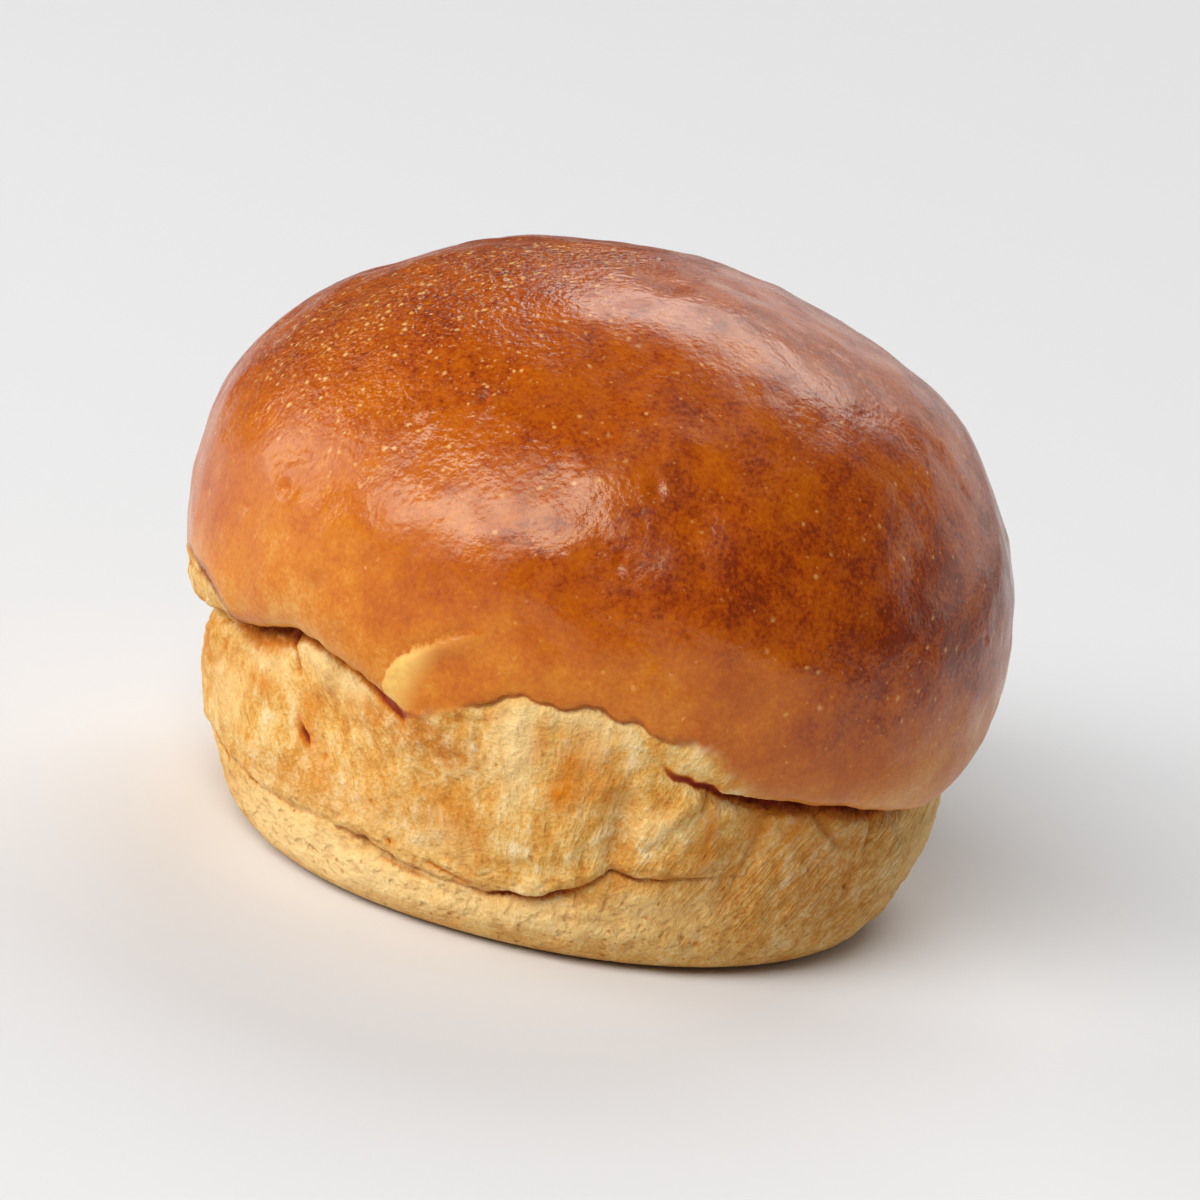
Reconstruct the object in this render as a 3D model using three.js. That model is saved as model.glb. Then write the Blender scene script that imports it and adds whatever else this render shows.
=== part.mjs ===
// A soft round bread roll with a glazed dome over a pale, torn side, as one solid. Millimetres, +Z up.
// The roll rests on z = 0. Its front is at -Y, and bearings run from the front (0) to the right, +X (90).
import * as THREE from "three";

// Overall size of the dome and of the flat that the roll stands on
const HEIGHT = 67;
const DOME_RADIUS = 45.6;
const DOME_WIDEST_Z = 32;
const DOME_POWER = 2.1;
const DEPTH_SHARE = 0.972;
const FLAT_RADIUS = 33;

// The pale side below the crust: a rounded bottom edge, then a nearly upright wall
const SIDE_RADIUS = 41;
const EDGE_HEIGHT = 15;
const EDGE_POWER = 2.4;
const FLARE_FROM_Z = 5;

// The crust's lip: how its underside curls in, and how far it hangs over the crease
const LIP_CURL = 0.0085;
const LIP_ROUNDING = 5;
const LIP_HANG = 2.2;
const HANG_CENTRE = 1.8;
const HANG_START = 0.6;
const CREASE_DEPTH = 3.2;
const CREASE_SHOULDER = 1.6;

// The fold low on the side
const FOLD_WIDTH = 1.1;
const FOLD_UPPER_SHARE = 0.6;

// The dome leans to the left, and the pale body sits a little to the right under it
const LEAN = 1.2;
const BODY_SHIFT = 1;
const BODY_SHIFT_TOP_Z = 26;

// Mesh density
const ROUND_STEPS = 104;
const FLAT_RINGS = 4;
const SIDE_RINGS = 19;
const DOME_RINGS = 24;

// How the dome's rings follow the crease: they crowd towards it, and its ups and downs die away upwards
const MEAN_CREASE_Z = 22;
const RING_CROWDING = 1.3;
const CREASE_FADE = 1.5;

// The crease under the crust, all the way round: bearing, height, and how far it is open (0 to 1)
const CREASE = [
  [-180, 20.5, 0.75],
  [-150, 22, 0.55],
  [-120, 21, 0.9],
  [-92, 21, 1],
  [-74, 22.4, 1],
  [-60, 24.6, 0.95],
  [-48, 26.2, 0.85],
  [-37, 28.9, 0.65],
  [-30, 28.2, 0.5],
  [-24, 26.2, 0.25],
  [-17, 26.5, 0.08],
  [-8, 29.5, 0.06],
  [4, 30.8, 0.06],
  [12, 28.6, 0.06],
  [17, 25, 0.2],
  [23, 22.8, 0.45],
  [32, 21.9, 0.75],
  [46, 20.3, 0.95],
  [60, 19.8, 1],
  [76, 23, 1],
  [94, 25.6, 1],
  [118, 22.5, 0.9],
  [140, 22, 0.55],
  [160, 20.5, 0.8],
];

// The fold in the pale side: bearing, height and depth
const FOLD = [
  [-180, 9, 0.8],
  [-140, 8, 0.4],
  [-100, 10, 0.15],
  [-62, 10.2, 0.4],
  [-50, 9.4, 0.9],
  [-38, 9.6, 0.7],
  [-28, 9, 0.9],
  [-18, 8.2, 0.9],
  [-10, 7.7, 1.1],
  [-2, 7.7, 1.6],
  [4, 9.4, 1.6],
  [9, 11.8, 1.2],
  [17, 12.4, 0.8],
  [24, 12.9, 0.3],
  [60, 10, 0],
  [110, 9, 0.4],
  [150, 8, 0.9],
];

// Swells (+) and hollows (-) of the skin: bearing, height, half-width in degrees, half-height, and push
const SWELLS = [
  { name: "belly over the fold", bearing: -3, z: 14, turn: 12, rise: 6, push: 1.3 },
  { name: "right belly", bearing: 18, z: 18, turn: 8, rise: 6, push: 0.8 },
  { name: "valley between the bellies", bearing: 9.5, z: 17, turn: 3.5, rise: 6, push: -0.9 },
  { name: "second valley", bearing: 28, z: 15, turn: 4, rise: 5, push: -0.6 },
  { name: "hollow at the left", bearing: -38, z: 18, turn: 6, rise: 6, push: -0.9 },
  { name: "left cheek", bearing: -54, z: 15, turn: 12, rise: 8, push: 0.7 },
  { name: "left end", bearing: -88, z: 15, turn: 25, rise: 6, push: 0.9 },
  { name: "left base corner", bearing: -85, z: 5, turn: 25, rise: 4.5, push: -1 },
  { name: "right base corner", bearing: 85, z: 4.5, turn: 30, rise: 5.5, push: -1.3 },
  { name: "back belly", bearing: 172, z: 13, turn: 22, rise: 7, push: 1 },
  { name: "back valley", bearing: 145, z: 15, turn: 6, rise: 7, push: -1 },
  { name: "back left belly", bearing: -128, z: 14, turn: 20, rise: 7, push: 0.8 },
  { name: "back left valley", bearing: -155, z: 14, turn: 5, rise: 6, push: -0.8 },
  { name: "base lip at the front", bearing: 5, z: 4, turn: 30, rise: 3, push: 0.5 },
  { name: "base corner at the front left", bearing: -38, z: 1, turn: 24, rise: 4, push: 0.9 },
  { name: "flat at the upper right", bearing: 85, z: 62, turn: 45, rise: 7, push: -1 },
  { name: "bump on the right shoulder", bearing: 92, z: 58, turn: 24, rise: 6, push: 1.6 },
  { name: "right flank", bearing: 90, z: 35, turn: 40, rise: 7, push: 0.2 },
  { name: "left shoulder", bearing: -100, z: 46, turn: 35, rise: 8, push: 0.6 },
  { name: "flat at the upper left", bearing: -95, z: 62, turn: 35, rise: 6, push: -0.9 },
  { name: "lip at the left end", bearing: -90, z: 26, turn: 35, rise: 5, push: -0.3 },
  { name: "front brow", bearing: -10, z: 46, turn: 30, rise: 8, push: 0.5 },
  { name: "dimple in the brow", bearing: 12, z: 50, turn: 7, rise: 5, push: -0.5 },
  { name: "back dent", bearing: 165, z: 48, turn: 25, rise: 9, push: -0.8 },
];

const radians = THREE.MathUtils.degToRad;
const clamp01 = (value) => THREE.MathUtils.clamp(value, 0, 1);
const bell = (value) => Math.exp(-value * value);
const turned = (degrees) => THREE.MathUtils.euclideanModulo(degrees + 180, 360) - 180;

// The value in one column of a table of stations, by a smooth closed curve through them
function around(stations, column, bearing) {
  const count = stations.length;
  const at = (n) => {
    const lap = Math.floor(n / count);
    const station = stations[n - lap * count];
    return { bearing: station[0] + 360 * lap, value: station[column] };
  };
  let n = count - 1;
  while (n > 0 && at(n).bearing > bearing) n -= 1;
  const [before, start, end, after] = [at(n - 1), at(n), at(n + 1), at(n + 2)];
  const span = end.bearing - start.bearing;
  const t = (bearing - start.bearing) / span;
  const slopeStart = (end.value - before.value) / (end.bearing - before.bearing);
  const slopeEnd = (after.value - start.value) / (after.bearing - start.bearing);
  const t2 = t * t;
  const t3 = t2 * t;
  return (
    (2 * t3 - 3 * t2 + 1) * start.value +
    (t3 - 2 * t2 + t) * span * slopeStart +
    (3 * t2 - 2 * t3) * end.value +
    (t3 - t2) * span * slopeEnd
  );
}

// Radius of the upright pale wall, with its rounded bottom edge
function sideRadius(z) {
  const below = 1 - Math.min(z / EDGE_HEIGHT, 1);
  const share = (1 - below ** EDGE_POWER) ** (1 / EDGE_POWER);
  return FLAT_RADIUS + (SIDE_RADIUS - FLAT_RADIUS) * share;
}

// Radius of the glazed dome above its widest level
function domeRadius(z) {
  const share = clamp01((z - DOME_WIDEST_Z) / (HEIGHT - DOME_WIDEST_Z));
  return DOME_RADIUS * (1 - share ** DOME_POWER) ** (1 / DOME_POWER);
}

// Radius where the crease is shut and the side swells straight into the dome
function shutRadius(z) {
  if (z >= DOME_WIDEST_Z) return domeRadius(z);
  const flare = THREE.MathUtils.smoothstep(z, FLARE_FROM_Z, DOME_WIDEST_Z + 2);
  return sideRadius(z) + (DOME_RADIUS - SIDE_RADIUS) * flare;
}

// Radius of the dome where its crust curls in towards an open crease
function lipRadius(z) {
  if (z >= DOME_WIDEST_Z) return domeRadius(z);
  return DOME_RADIUS - LIP_CURL * (DOME_WIDEST_Z - z) ** 2;
}

// A point of the pale side, by its share of the way up from the flat to the crease
function sidePoint(share, creaseZ, open) {
  const eased = (share + THREE.MathUtils.smoothstep(share, 0, 1)) / 2;
  const z = creaseZ * eased;
  const wall = THREE.MathUtils.lerp(shutRadius(z), sideRadius(z), open);
  const notch = CREASE_DEPTH * open * bell((creaseZ - z) / CREASE_SHOULDER);
  return { radius: wall - notch, z };
}

// A point of the crust, by its share of the way from the crease over the lip to the top
function domePoint(share, creaseZ, open) {
  const angle = share ** RING_CROWDING * (Math.PI / 2);
  const up = Math.sin(angle);
  const offset = (creaseZ - MEAN_CREASE_Z) * (1 - up) ** CREASE_FADE;
  const z = MEAN_CREASE_Z + (HEIGHT - MEAN_CREASE_Z) * up + offset;
  const rise = z - creaseZ;
  const curl = 1 - Math.sqrt(1 - (1 - clamp01(rise / LIP_ROUNDING)) ** 2);
  const notchRadius = sideRadius(creaseZ) - CREASE_DEPTH;
  const lip = THREE.MathUtils.lerp(lipRadius(z), notchRadius, curl);
  const hang = LIP_HANG * open * bell((rise - HANG_CENTRE) / LIP_HANG) * (1 - bell(rise / HANG_START));
  return { radius: THREE.MathUtils.lerp(shutRadius(z), lip, open), z: z - hang };
}

// How far the fold draws the side in at a bearing and height
function foldDepth(bearing, z) {
  const foldZ = around(FOLD, 1, bearing);
  const depth = Math.max(around(FOLD, 2, bearing), 0);
  const width = z > foldZ ? FOLD_WIDTH * FOLD_UPPER_SHARE : FOLD_WIDTH;
  return depth * bell((z - foldZ) / width);
}

// Sum of the named swells and hollows at a bearing and height
function swell(bearing, z) {
  return SWELLS.reduce(
    (sum, s) => sum + s.push * bell(turned(bearing - s.bearing) / s.turn) * bell((z - s.z) / s.rise),
    0,
  );
}

// The finished skin at a bearing, for a ring counted from the middle of the flat to the top
function skinPoint(ring, bearing) {
  const creaseZ = around(CREASE, 1, bearing);
  const open = clamp01(around(CREASE, 2, bearing));
  const lastRing = FLAT_RINGS + SIDE_RINGS + DOME_RINGS;
  let point;
  if (ring < FLAT_RINGS) point = { radius: (FLAT_RADIUS * ring) / FLAT_RINGS, z: 0 };
  else if (ring <= FLAT_RINGS + SIDE_RINGS) {
    point = sidePoint((ring - FLAT_RINGS) / SIDE_RINGS, creaseZ, open);
  } else point = domePoint((ring - FLAT_RINGS - SIDE_RINGS) / DOME_RINGS, creaseZ, open);
  const onAxis = ring === 0 || ring === lastRing;
  const relief = ring < FLAT_RINGS || onAxis ? 0 : swell(bearing, point.z) - foldDepth(bearing, point.z);
  const radius = onAxis ? 0 : point.radius + relief;
  const shift = BODY_SHIFT * Math.sqrt(clamp01(1 - point.z / BODY_SHIFT_TOP_Z));
  const lean = LEAN * clamp01((point.z - BODY_SHIFT_TOP_Z) / (HEIGHT - BODY_SHIFT_TOP_Z));
  return new THREE.Vector3(
    radius * Math.sin(radians(bearing)) + shift - lean,
    -radius * Math.cos(radians(bearing)) * DEPTH_SHARE,
    point.z,
  );
}

// The roll's skin: a plain lathed bun, with each of its points then moved onto the finished skin
function rollGeometry() {
  const rings = FLAT_RINGS + SIDE_RINGS + DOME_RINGS + 1;
  const section = Array.from({ length: rings }, (_, ring) => {
    const { x, y, z } = skinPoint(ring, 90);
    return new THREE.Vector2(ring === 0 || ring === rings - 1 ? 0 : Math.hypot(x, y), z);
  });
  const geometry = new THREE.LatheGeometry(section, ROUND_STEPS);
  const position = geometry.getAttribute("position");
  for (let n = 0; n < position.count; n += 1) {
    const step = Math.floor(n / rings) % ROUND_STEPS;
    const point = skinPoint(n % rings, turned((360 * step) / ROUND_STEPS));
    position.setXYZ(n, point.x, point.y, point.z);
  }
  return geometry;
}

// Sets the middle of the roll's footprint box on the origin
function centre(geometry) {
  geometry.computeBoundingBox();
  const { min, max } = geometry.boundingBox;
  geometry.translate(-(min.x + max.x) / 2, -(min.y + max.y) / 2, -min.z);
  geometry.computeVertexNormals();
  return geometry;
}

const bakedCrust = new THREE.MeshStandardMaterial({ color: 0xc4761f, roughness: 0.4, metalness: 0 });

const roll = new THREE.Mesh(centre(rollGeometry()), bakedCrust);
roll.name = "bread_roll";

const part = new THREE.Group();
part.add(roll);

export default part;
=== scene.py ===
"""A soft glazed bread roll on a pale floor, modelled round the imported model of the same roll.

The roll's own sizes are in millimetres and MM turns them into the scene's metres. Bearings are in degrees
round the upright axis: 0 is the torn front at -Y, and +90 is the right end at +X.
"""

import logging
import math
from dataclasses import dataclass
from enum import Enum

import bpy
import numpy as np
from mathutils import Matrix, Vector, noise


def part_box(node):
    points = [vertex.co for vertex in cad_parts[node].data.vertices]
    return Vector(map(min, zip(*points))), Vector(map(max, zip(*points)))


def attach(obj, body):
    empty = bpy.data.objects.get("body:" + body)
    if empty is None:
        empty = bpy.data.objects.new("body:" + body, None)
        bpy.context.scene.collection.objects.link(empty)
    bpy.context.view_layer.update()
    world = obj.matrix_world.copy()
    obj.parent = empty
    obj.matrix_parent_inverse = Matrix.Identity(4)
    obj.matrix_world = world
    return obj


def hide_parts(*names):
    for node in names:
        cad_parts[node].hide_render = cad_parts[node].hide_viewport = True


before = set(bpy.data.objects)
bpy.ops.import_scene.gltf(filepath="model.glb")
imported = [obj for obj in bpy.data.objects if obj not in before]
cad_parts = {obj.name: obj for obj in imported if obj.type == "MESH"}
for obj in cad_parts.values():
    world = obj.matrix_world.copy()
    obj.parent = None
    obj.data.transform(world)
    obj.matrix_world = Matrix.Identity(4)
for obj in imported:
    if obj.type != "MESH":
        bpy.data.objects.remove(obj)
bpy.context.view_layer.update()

MM = 0.001
ROLL_NODE = "bread_roll"

log = logging.getLogger("bread_roll")

# How far the noise is shifted for each line, so that no two lines wander alike
FRAY_SHIFT = 50
WAVE_SHIFT = 90
FOLD_SHIFT = 300


def bell(value: np.ndarray) -> np.ndarray:
    """Smooth bump that is 1 at 0 and fades out by about 2."""
    return np.exp(-(value**2))


def smooth(value: np.ndarray, low: float, high: float) -> np.ndarray:
    """Smooth step from 0 at low to 1 at high."""
    share = np.clip((value - low) / (high - low), 0, 1)
    return share * share * (3 - 2 * share)


def blend(start: np.ndarray, end: np.ndarray, share: np.ndarray) -> np.ndarray:
    """Straight blend from start to end."""
    return start + (end - start) * share


def turned(degrees: np.ndarray) -> np.ndarray:
    """The same bearing, from -180 up to 180 degrees."""
    return (degrees + 180) % 360 - 180


def wander(points: np.ndarray, grain: float) -> np.ndarray:
    """Coherent noise of two layers at points in space.

    Args:
        points: Rows of x, y and z, in millimetres.
        grain: Size of the noise's largest lumps, in millimetres.

    Returns:
        One value a point, mostly within -0.5 to 0.5.
    """
    smoothness, lacunarity, layers = 1.0, 2.0, 2
    return np.array([noise.fractal(Vector(p), smoothness, lacunarity, layers) for p in points / grain])


def on_circle(bearing: np.ndarray, radius: float) -> np.ndarray:
    """Points on a level circle round the upright axis, as rows of x, y and z."""
    turn = np.radians(bearing)
    return np.stack([np.sin(turn), np.cos(turn), 0 * turn], 1) * radius


@dataclass(frozen=True)
class Span:
    """A stretch of bearings with soft ends: where it starts, is full, begins to fade and has faded."""

    start: float
    full: float
    fading: float
    faded: float

    def share(self, bearing: np.ndarray) -> np.ndarray:
        """1 within the stretch and 0 outside it."""
        return smooth(bearing, self.start, self.full) * (1 - smooth(bearing, self.fading, self.faded))


@dataclass(frozen=True)
class Station:
    """One place on a line that runs round the roll, with what the line does there."""

    bearing: float
    height: float
    amount: float


@dataclass(frozen=True)
class Swell:
    """A soft swelling (+) or hollow (-) of the skin."""

    name: str
    bearing: float
    z: float
    turn: float
    rise: float
    push: float


@dataclass(frozen=True)
class Stroke:
    """A straight ridge (+) or groove (-) between two places, each a bearing and a height, and the painted
    shade along it.
    """

    name: str
    start: tuple[float, float]
    end: tuple[float, float]
    width: float
    push: float
    shade: float = 0.0


@dataclass(frozen=True)
class Pit:
    """A round hole or blister: its place, radius, depth, the height of its rim and the painted shade in it.
    """

    bearing: float
    z: float
    radius: float
    push: float
    rim: float = 0.0
    shade: float = 0.0


class Tint(Enum):
    """The stains that are painted on the skin, each kept as a mesh attribute of this name."""

    GOLD = "gold"
    TAN = "tan"
    CREAM = "cream"
    CHAR = "char"
    BAKE = "bake_shift"


@dataclass(frozen=True)
class Stain:
    """A soft patch of one tint on the skin."""

    tint: Tint
    bearing: float
    z: float
    turn: float
    rise: float
    strength: float


def along(stations: tuple[Station, ...], column: str, bearing: np.ndarray) -> np.ndarray:
    """Reads a smooth closed curve through stations.

    Args:
        stations: The stations in the order of their bearings.
        column: Which of their values is read, height or amount.
        bearing: Where it is read.

    Returns:
        The curve's value at each bearing.
    """
    places = np.array([s.bearing for s in stations])
    values = np.array([getattr(s, column) for s in stations])
    places = np.concatenate([places[-2:] - 360, places, places[:3] + 360])
    values = np.concatenate([values[-2:], values, values[:3]])
    n = np.searchsorted(places, bearing, side="right") - 1
    span = places[n + 1] - places[n]
    t = (bearing - places[n]) / span
    slope_start = (values[n + 1] - values[n - 1]) / (places[n + 1] - places[n - 1])
    slope_end = (values[n + 2] - values[n]) / (places[n + 2] - places[n])
    return (
        (2 * t**3 - 3 * t**2 + 1) * values[n]
        + (t**3 - 2 * t**2 + t) * span * slope_start
        + (3 * t**2 - 2 * t**3) * values[n + 1]
        + (t**3 - t**2) * span * slope_end
    )


# The crease under the crust, all the way round: bearing, height, and how far it is open (0 to 1)
CREASE = (
    Station(-180, 20.5, 0.75),
    Station(-150, 22, 0.55),
    Station(-120, 21, 0.9),
    Station(-92, 21, 1),
    Station(-82, 21.6, 0.95),
    Station(-75, 22.3, 0.55),
    Station(-69, 23.2, 0.35),
    Station(-63, 24.2, 0.6),
    Station(-58, 25, 0.95),
    Station(-53, 26, 0.9),
    Station(-48, 26.8, 0.85),
    Station(-42, 28, 0.75),
    Station(-37, 27.6, 0.65),
    Station(-30, 26.4, 0.5),
    Station(-25, 25.1, 0.2),
    Station(-21, 24.8, 0.02),
    Station(-16, 25.4, 0),
    Station(-11, 27.2, 0.06),
    Station(-7, 29.4, 0.06),
    Station(-3, 29.9, 0.06),
    Station(1, 30, 0.06),
    Station(4, 30.6, 0.06),
    Station(8.5, 29.6, 0.06),
    Station(12, 26.2, 0.06),
    Station(15, 23.8, 0.1),
    Station(19, 23, 0.25),
    Station(23, 22.3, 0.45),
    Station(30, 22.4, 0.75),
    Station(38, 22, 0.9),
    Station(46, 21.3, 0.95),
    Station(54, 20.5, 1),
    Station(62, 20.2, 1),
    Station(76, 23, 1),
    Station(94, 25.6, 1),
    Station(118, 22.5, 0.9),
    Station(140, 22, 0.55),
    Station(160, 20.5, 0.8),
)

# How far above the crease the pale crumb still shows: bearing, rise, and how soft its upper edge is
PALE_RISE = (
    Station(-180, 3.5, 2),
    Station(-120, 4, 1.8),
    Station(-92, 4.6, 1.6),
    Station(-80, 5.6, 1.2),
    Station(-73, 5.8, 0.5),
    Station(-66, 4.8, 0.15),
    Station(-61, 4, 0.12),
    Station(-57, 2.8, 0.12),
    Station(-53, 0.8, 0.12),
    Station(-47, 0, 0.15),
    Station(-27, 0, 0.2),
    Station(-22, 0, 1.1),
    Station(-16, 0, 0.8),
    Station(-12, 0, 0.2),
    Station(-9, 0, 0.12),
    Station(7, 0, 0.12),
    Station(12, 2.7, 0.2),
    Station(15, 4.3, 0.5),
    Station(19, 4.2, 1.3),
    Station(24, 2.6, 1.8),
    Station(32, 1, 1.8),
    Station(60, 1, 1.8),
    Station(95, 2, 2.2),
    Station(140, 3, 2),
)

# How far below the crease painted shade darkens the skin: bearing, reach and strength
SHADE_BELOW = (
    Station(-180, 0.9, 0.8),
    Station(-120, 0.9, 0.8),
    Station(-84, 0.6, 0.8),
    Station(-76, 0.4, 0.5),
    Station(-69, 0.3, 0.15),
    Station(-64, 1, 0.6),
    Station(-59, 2.2, 0.85),
    Station(-53, 3.4, 0.66),
    Station(-47.5, 3, 0.66),
    Station(-44, 2, 0.85),
    Station(-40, 1.5, 1),
    Station(-30, 1.5, 1),
    Station(-25, 1.2, 1),
    Station(-21, 0.5, 0.5),
    Station(-17, 0.2, 0),
    Station(12, 0.2, 0),
    Station(14, 0.35, 0.7),
    Station(20, 0.6, 0.9),
    Station(25, 1.2, 1),
    Station(31, 2.3, 1),
    Station(38, 2.2, 1),
    Station(44, 2.3, 1),
    Station(55, 1.9, 1),
    Station(60, 1, 0.7),
    Station(66, 0.5, 0.5),
    Station(100, 0.7, 0.7),
    Station(150, 0.9, 0.8),
)

# The fold low on the pale side: bearing, height and depth
FOLD = (
    Station(-180, 9, 0.8),
    Station(-140, 8, 0.4),
    Station(-100, 10, 0.15),
    Station(-66, 9, 0.2),
    Station(-55, 8.3, 0.6),
    Station(-50, 8.4, 0.35),
    Station(-43, 8, 0.5),
    Station(-37, 8.5, 0.35),
    Station(-31, 8.3, 0.7),
    Station(-26, 7.8, 0.8),
    Station(-18, 7, 0.5),
    Station(-13, 7.1, 0.4),
    Station(-7, 7, 1.1),
    Station(-1, 7.6, 1.6),
    Station(4, 9.6, 1.5),
    Station(8.5, 12, 1.2),
    Station(12, 11.5, 1),
    Station(16, 12, 0.9),
    Station(21, 12.3, 0.6),
    Station(26, 12.9, 0.2),
    Station(60, 10, 0),
    Station(110, 9, 0.4),
    Station(150, 8, 0.9),
)

# Swells and hollows of the whole form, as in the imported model
SWELLS = (
    Swell("belly over the fold", -3, 14, 12, 6, 1.3),
    Swell("right belly", 18, 18, 8, 6, 0.8),
    Swell("valley between the bellies", 9.5, 17, 3.5, 6, -0.9),
    Swell("second valley", 28, 15, 4, 5, -0.6),
    Swell("hollow at the left", -38, 18, 6, 6, -0.9),
    Swell("left cheek", -54, 15, 12, 8, 0.7),
    Swell("left end", -88, 15, 25, 6, 0.9),
    Swell("left base corner", -85, 5, 25, 4.5, -1),
    Swell("right base corner", 85, 4.5, 30, 5.5, -1.3),
    Swell("back belly", 172, 13, 22, 7, 1),
    Swell("back valley", 145, 15, 6, 7, -1),
    Swell("back left belly", -128, 14, 20, 7, 0.8),
    Swell("back left valley", -155, 14, 5, 6, -0.8),
    Swell("base lip at the front", 5, 4, 30, 3, 0.5),
    Swell("base corner at the front left", -38, 1, 24, 4, 0.9),
    Swell("flat at the upper right", 85, 62, 45, 7, -1),
    Swell("bump on the right shoulder", 92, 58, 24, 6, 1.6),
    Swell("right flank", 90, 35, 40, 7, 0.2),
    Swell("left shoulder", -100, 46, 35, 8, 0.6),
    Swell("flat at the upper left", -95, 62, 35, 6, -0.9),
    Swell("lip at the left end", -90, 26, 35, 5, -0.3),
    Swell("front brow", -10, 46, 30, 8, 0.5),
    Swell("dimple in the brow", 12, 50, 7, 5, -0.5),
    Swell("back dent", 165, 48, 25, 9, -0.8),
)

# Ridges and grooves finer than the imported model's, many with painted shade along them
STROKES = (
    Stroke("valley between the bellies", (9.2, 21), (8.4, 13.4), 1.4, -0.7),
    Stroke("rope below the crease's tip", (11.5, 16.2), (18.8, 21.6), 1.1, 0.5),
    Stroke("groove under the rope", (13.6, 15.6), (20.2, 20.2), 0.7, -0.15),
    Stroke("nick beside the crease's tip", (20.2, 22.8), (19.6, 20.6), 0.4, -0.5, 0.4),
    Stroke("wrinkle in the left lip", (-86, 25.6), (-66, 27), 0.35, -0.5, 0.35),
    Stroke("second wrinkle in the left lip", (-80, 24.6), (-69, 25.4), 0.3, -0.3, 0.2),
    Stroke("notch left of the peak", (-45.5, 25.6), (-43.6, 22.8), 0.5, -0.9, 0.55),
    Stroke("peak under the lip", (-41, 26.8), (-37, 24.5), 1.6, 0.9),
    Stroke("strand in the left hollow", (-56, 24.4), (-48, 25), 0.35, 0.5, -0.35),
    Stroke("second strand in the left hollow", (-60, 23.6), (-51, 23.9), 0.35, 0.4, -0.2),
    Stroke("line down the left crumb", (-61, 24), (-66, 18), 0.5, -0.4, 0.3),
    Stroke("patch at the left end", (-74, 19.6), (-68, 17), 0.9, -0.25, 0.22),
    Stroke("long hollow under the peak", (-34, 25), (-27, 22.6), 0.9, -0.3),
    Stroke("knot at the crease's end", (-23.6, 23.8), (-22.8, 23), 0.45, -0.5, 0.6),
    Stroke("line under the hole", (-40.8, 15.2), (-38.4, 13.2), 0.3, -0.3, 0.3),
    Stroke("line over the hole", (-43.4, 18.2), (-42, 16.6), 0.28, -0.3, 0.4),
    Stroke("first fold under the right lip", (31, 20.5), (29.5, 14), 0.8, -0.5, 0.12),
    Stroke("second fold under the right lip", (40, 19.4), (46, 16.2), 0.55, -0.6, 0.3),
    Stroke("third fold under the right lip", (53, 18.8), (52, 14.4), 0.5, -0.5, 0.3),
    Stroke("fourth fold under the right lip", (63, 19.6), (60, 14), 0.6, -0.5, 0.15),
    Stroke("wrinkle at the right end", (74, 21.4), (69, 16), 0.6, -0.45, 0.15),
    Stroke("second line of the fold", (-17, 8.4), (-10, 7.6), 0.35, -0.5, 0.4),
    Stroke("lower line of the fold", (-25, 6.8), (-15.5, 6.2), 0.35, -0.45, 0.3),
    Stroke("crack at the left cheek", (-70, 9.4), (-62, 8), 0.35, -0.5, 0.6),
    Stroke("crack in the left fold", (-54.5, 8.5), (-51.5, 8.2), 0.35, -0.4, 0.6),
    Stroke("crack down from the border", (-11.8, 25.8), (-11.2, 22.4), 0.4, -0.35, 0.2),
    Stroke("ridge down from the border", (-2.6, 28.6), (-3.6, 24), 0.9, 0.3),
    Stroke("second ridge down from the border", (-6, 28), (-7.6, 19), 1.4, 0.35),
    Stroke("wrinkle over the crater", (-49.5, 44.2), (-45.8, 45.2), 0.4, -0.35),
    Stroke("second wrinkle over the crater", (-52.5, 43), (-50, 44.6), 0.35, -0.25),
    Stroke("wrinkle beside the crater", (-45.2, 43.6), (-43.6, 46.2), 0.4, -0.2),
    Stroke("tear at the upper left", (-80, 60.8), (-68, 62.6), 0.5, -0.4, 0.3),
    Stroke("lip of the tear", (-80, 61.8), (-66, 63.4), 0.5, 0.3),
    Stroke("crack on the back left", (-140, 19), (-138, 13), 0.6, -0.6, 0.4),
    Stroke("crack on the back", (168, 18), (171, 12), 0.6, -0.6, 0.4),
    Stroke("second crack on the back", (128, 19), (126, 14), 0.6, -0.5, 0.4),
)
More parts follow.
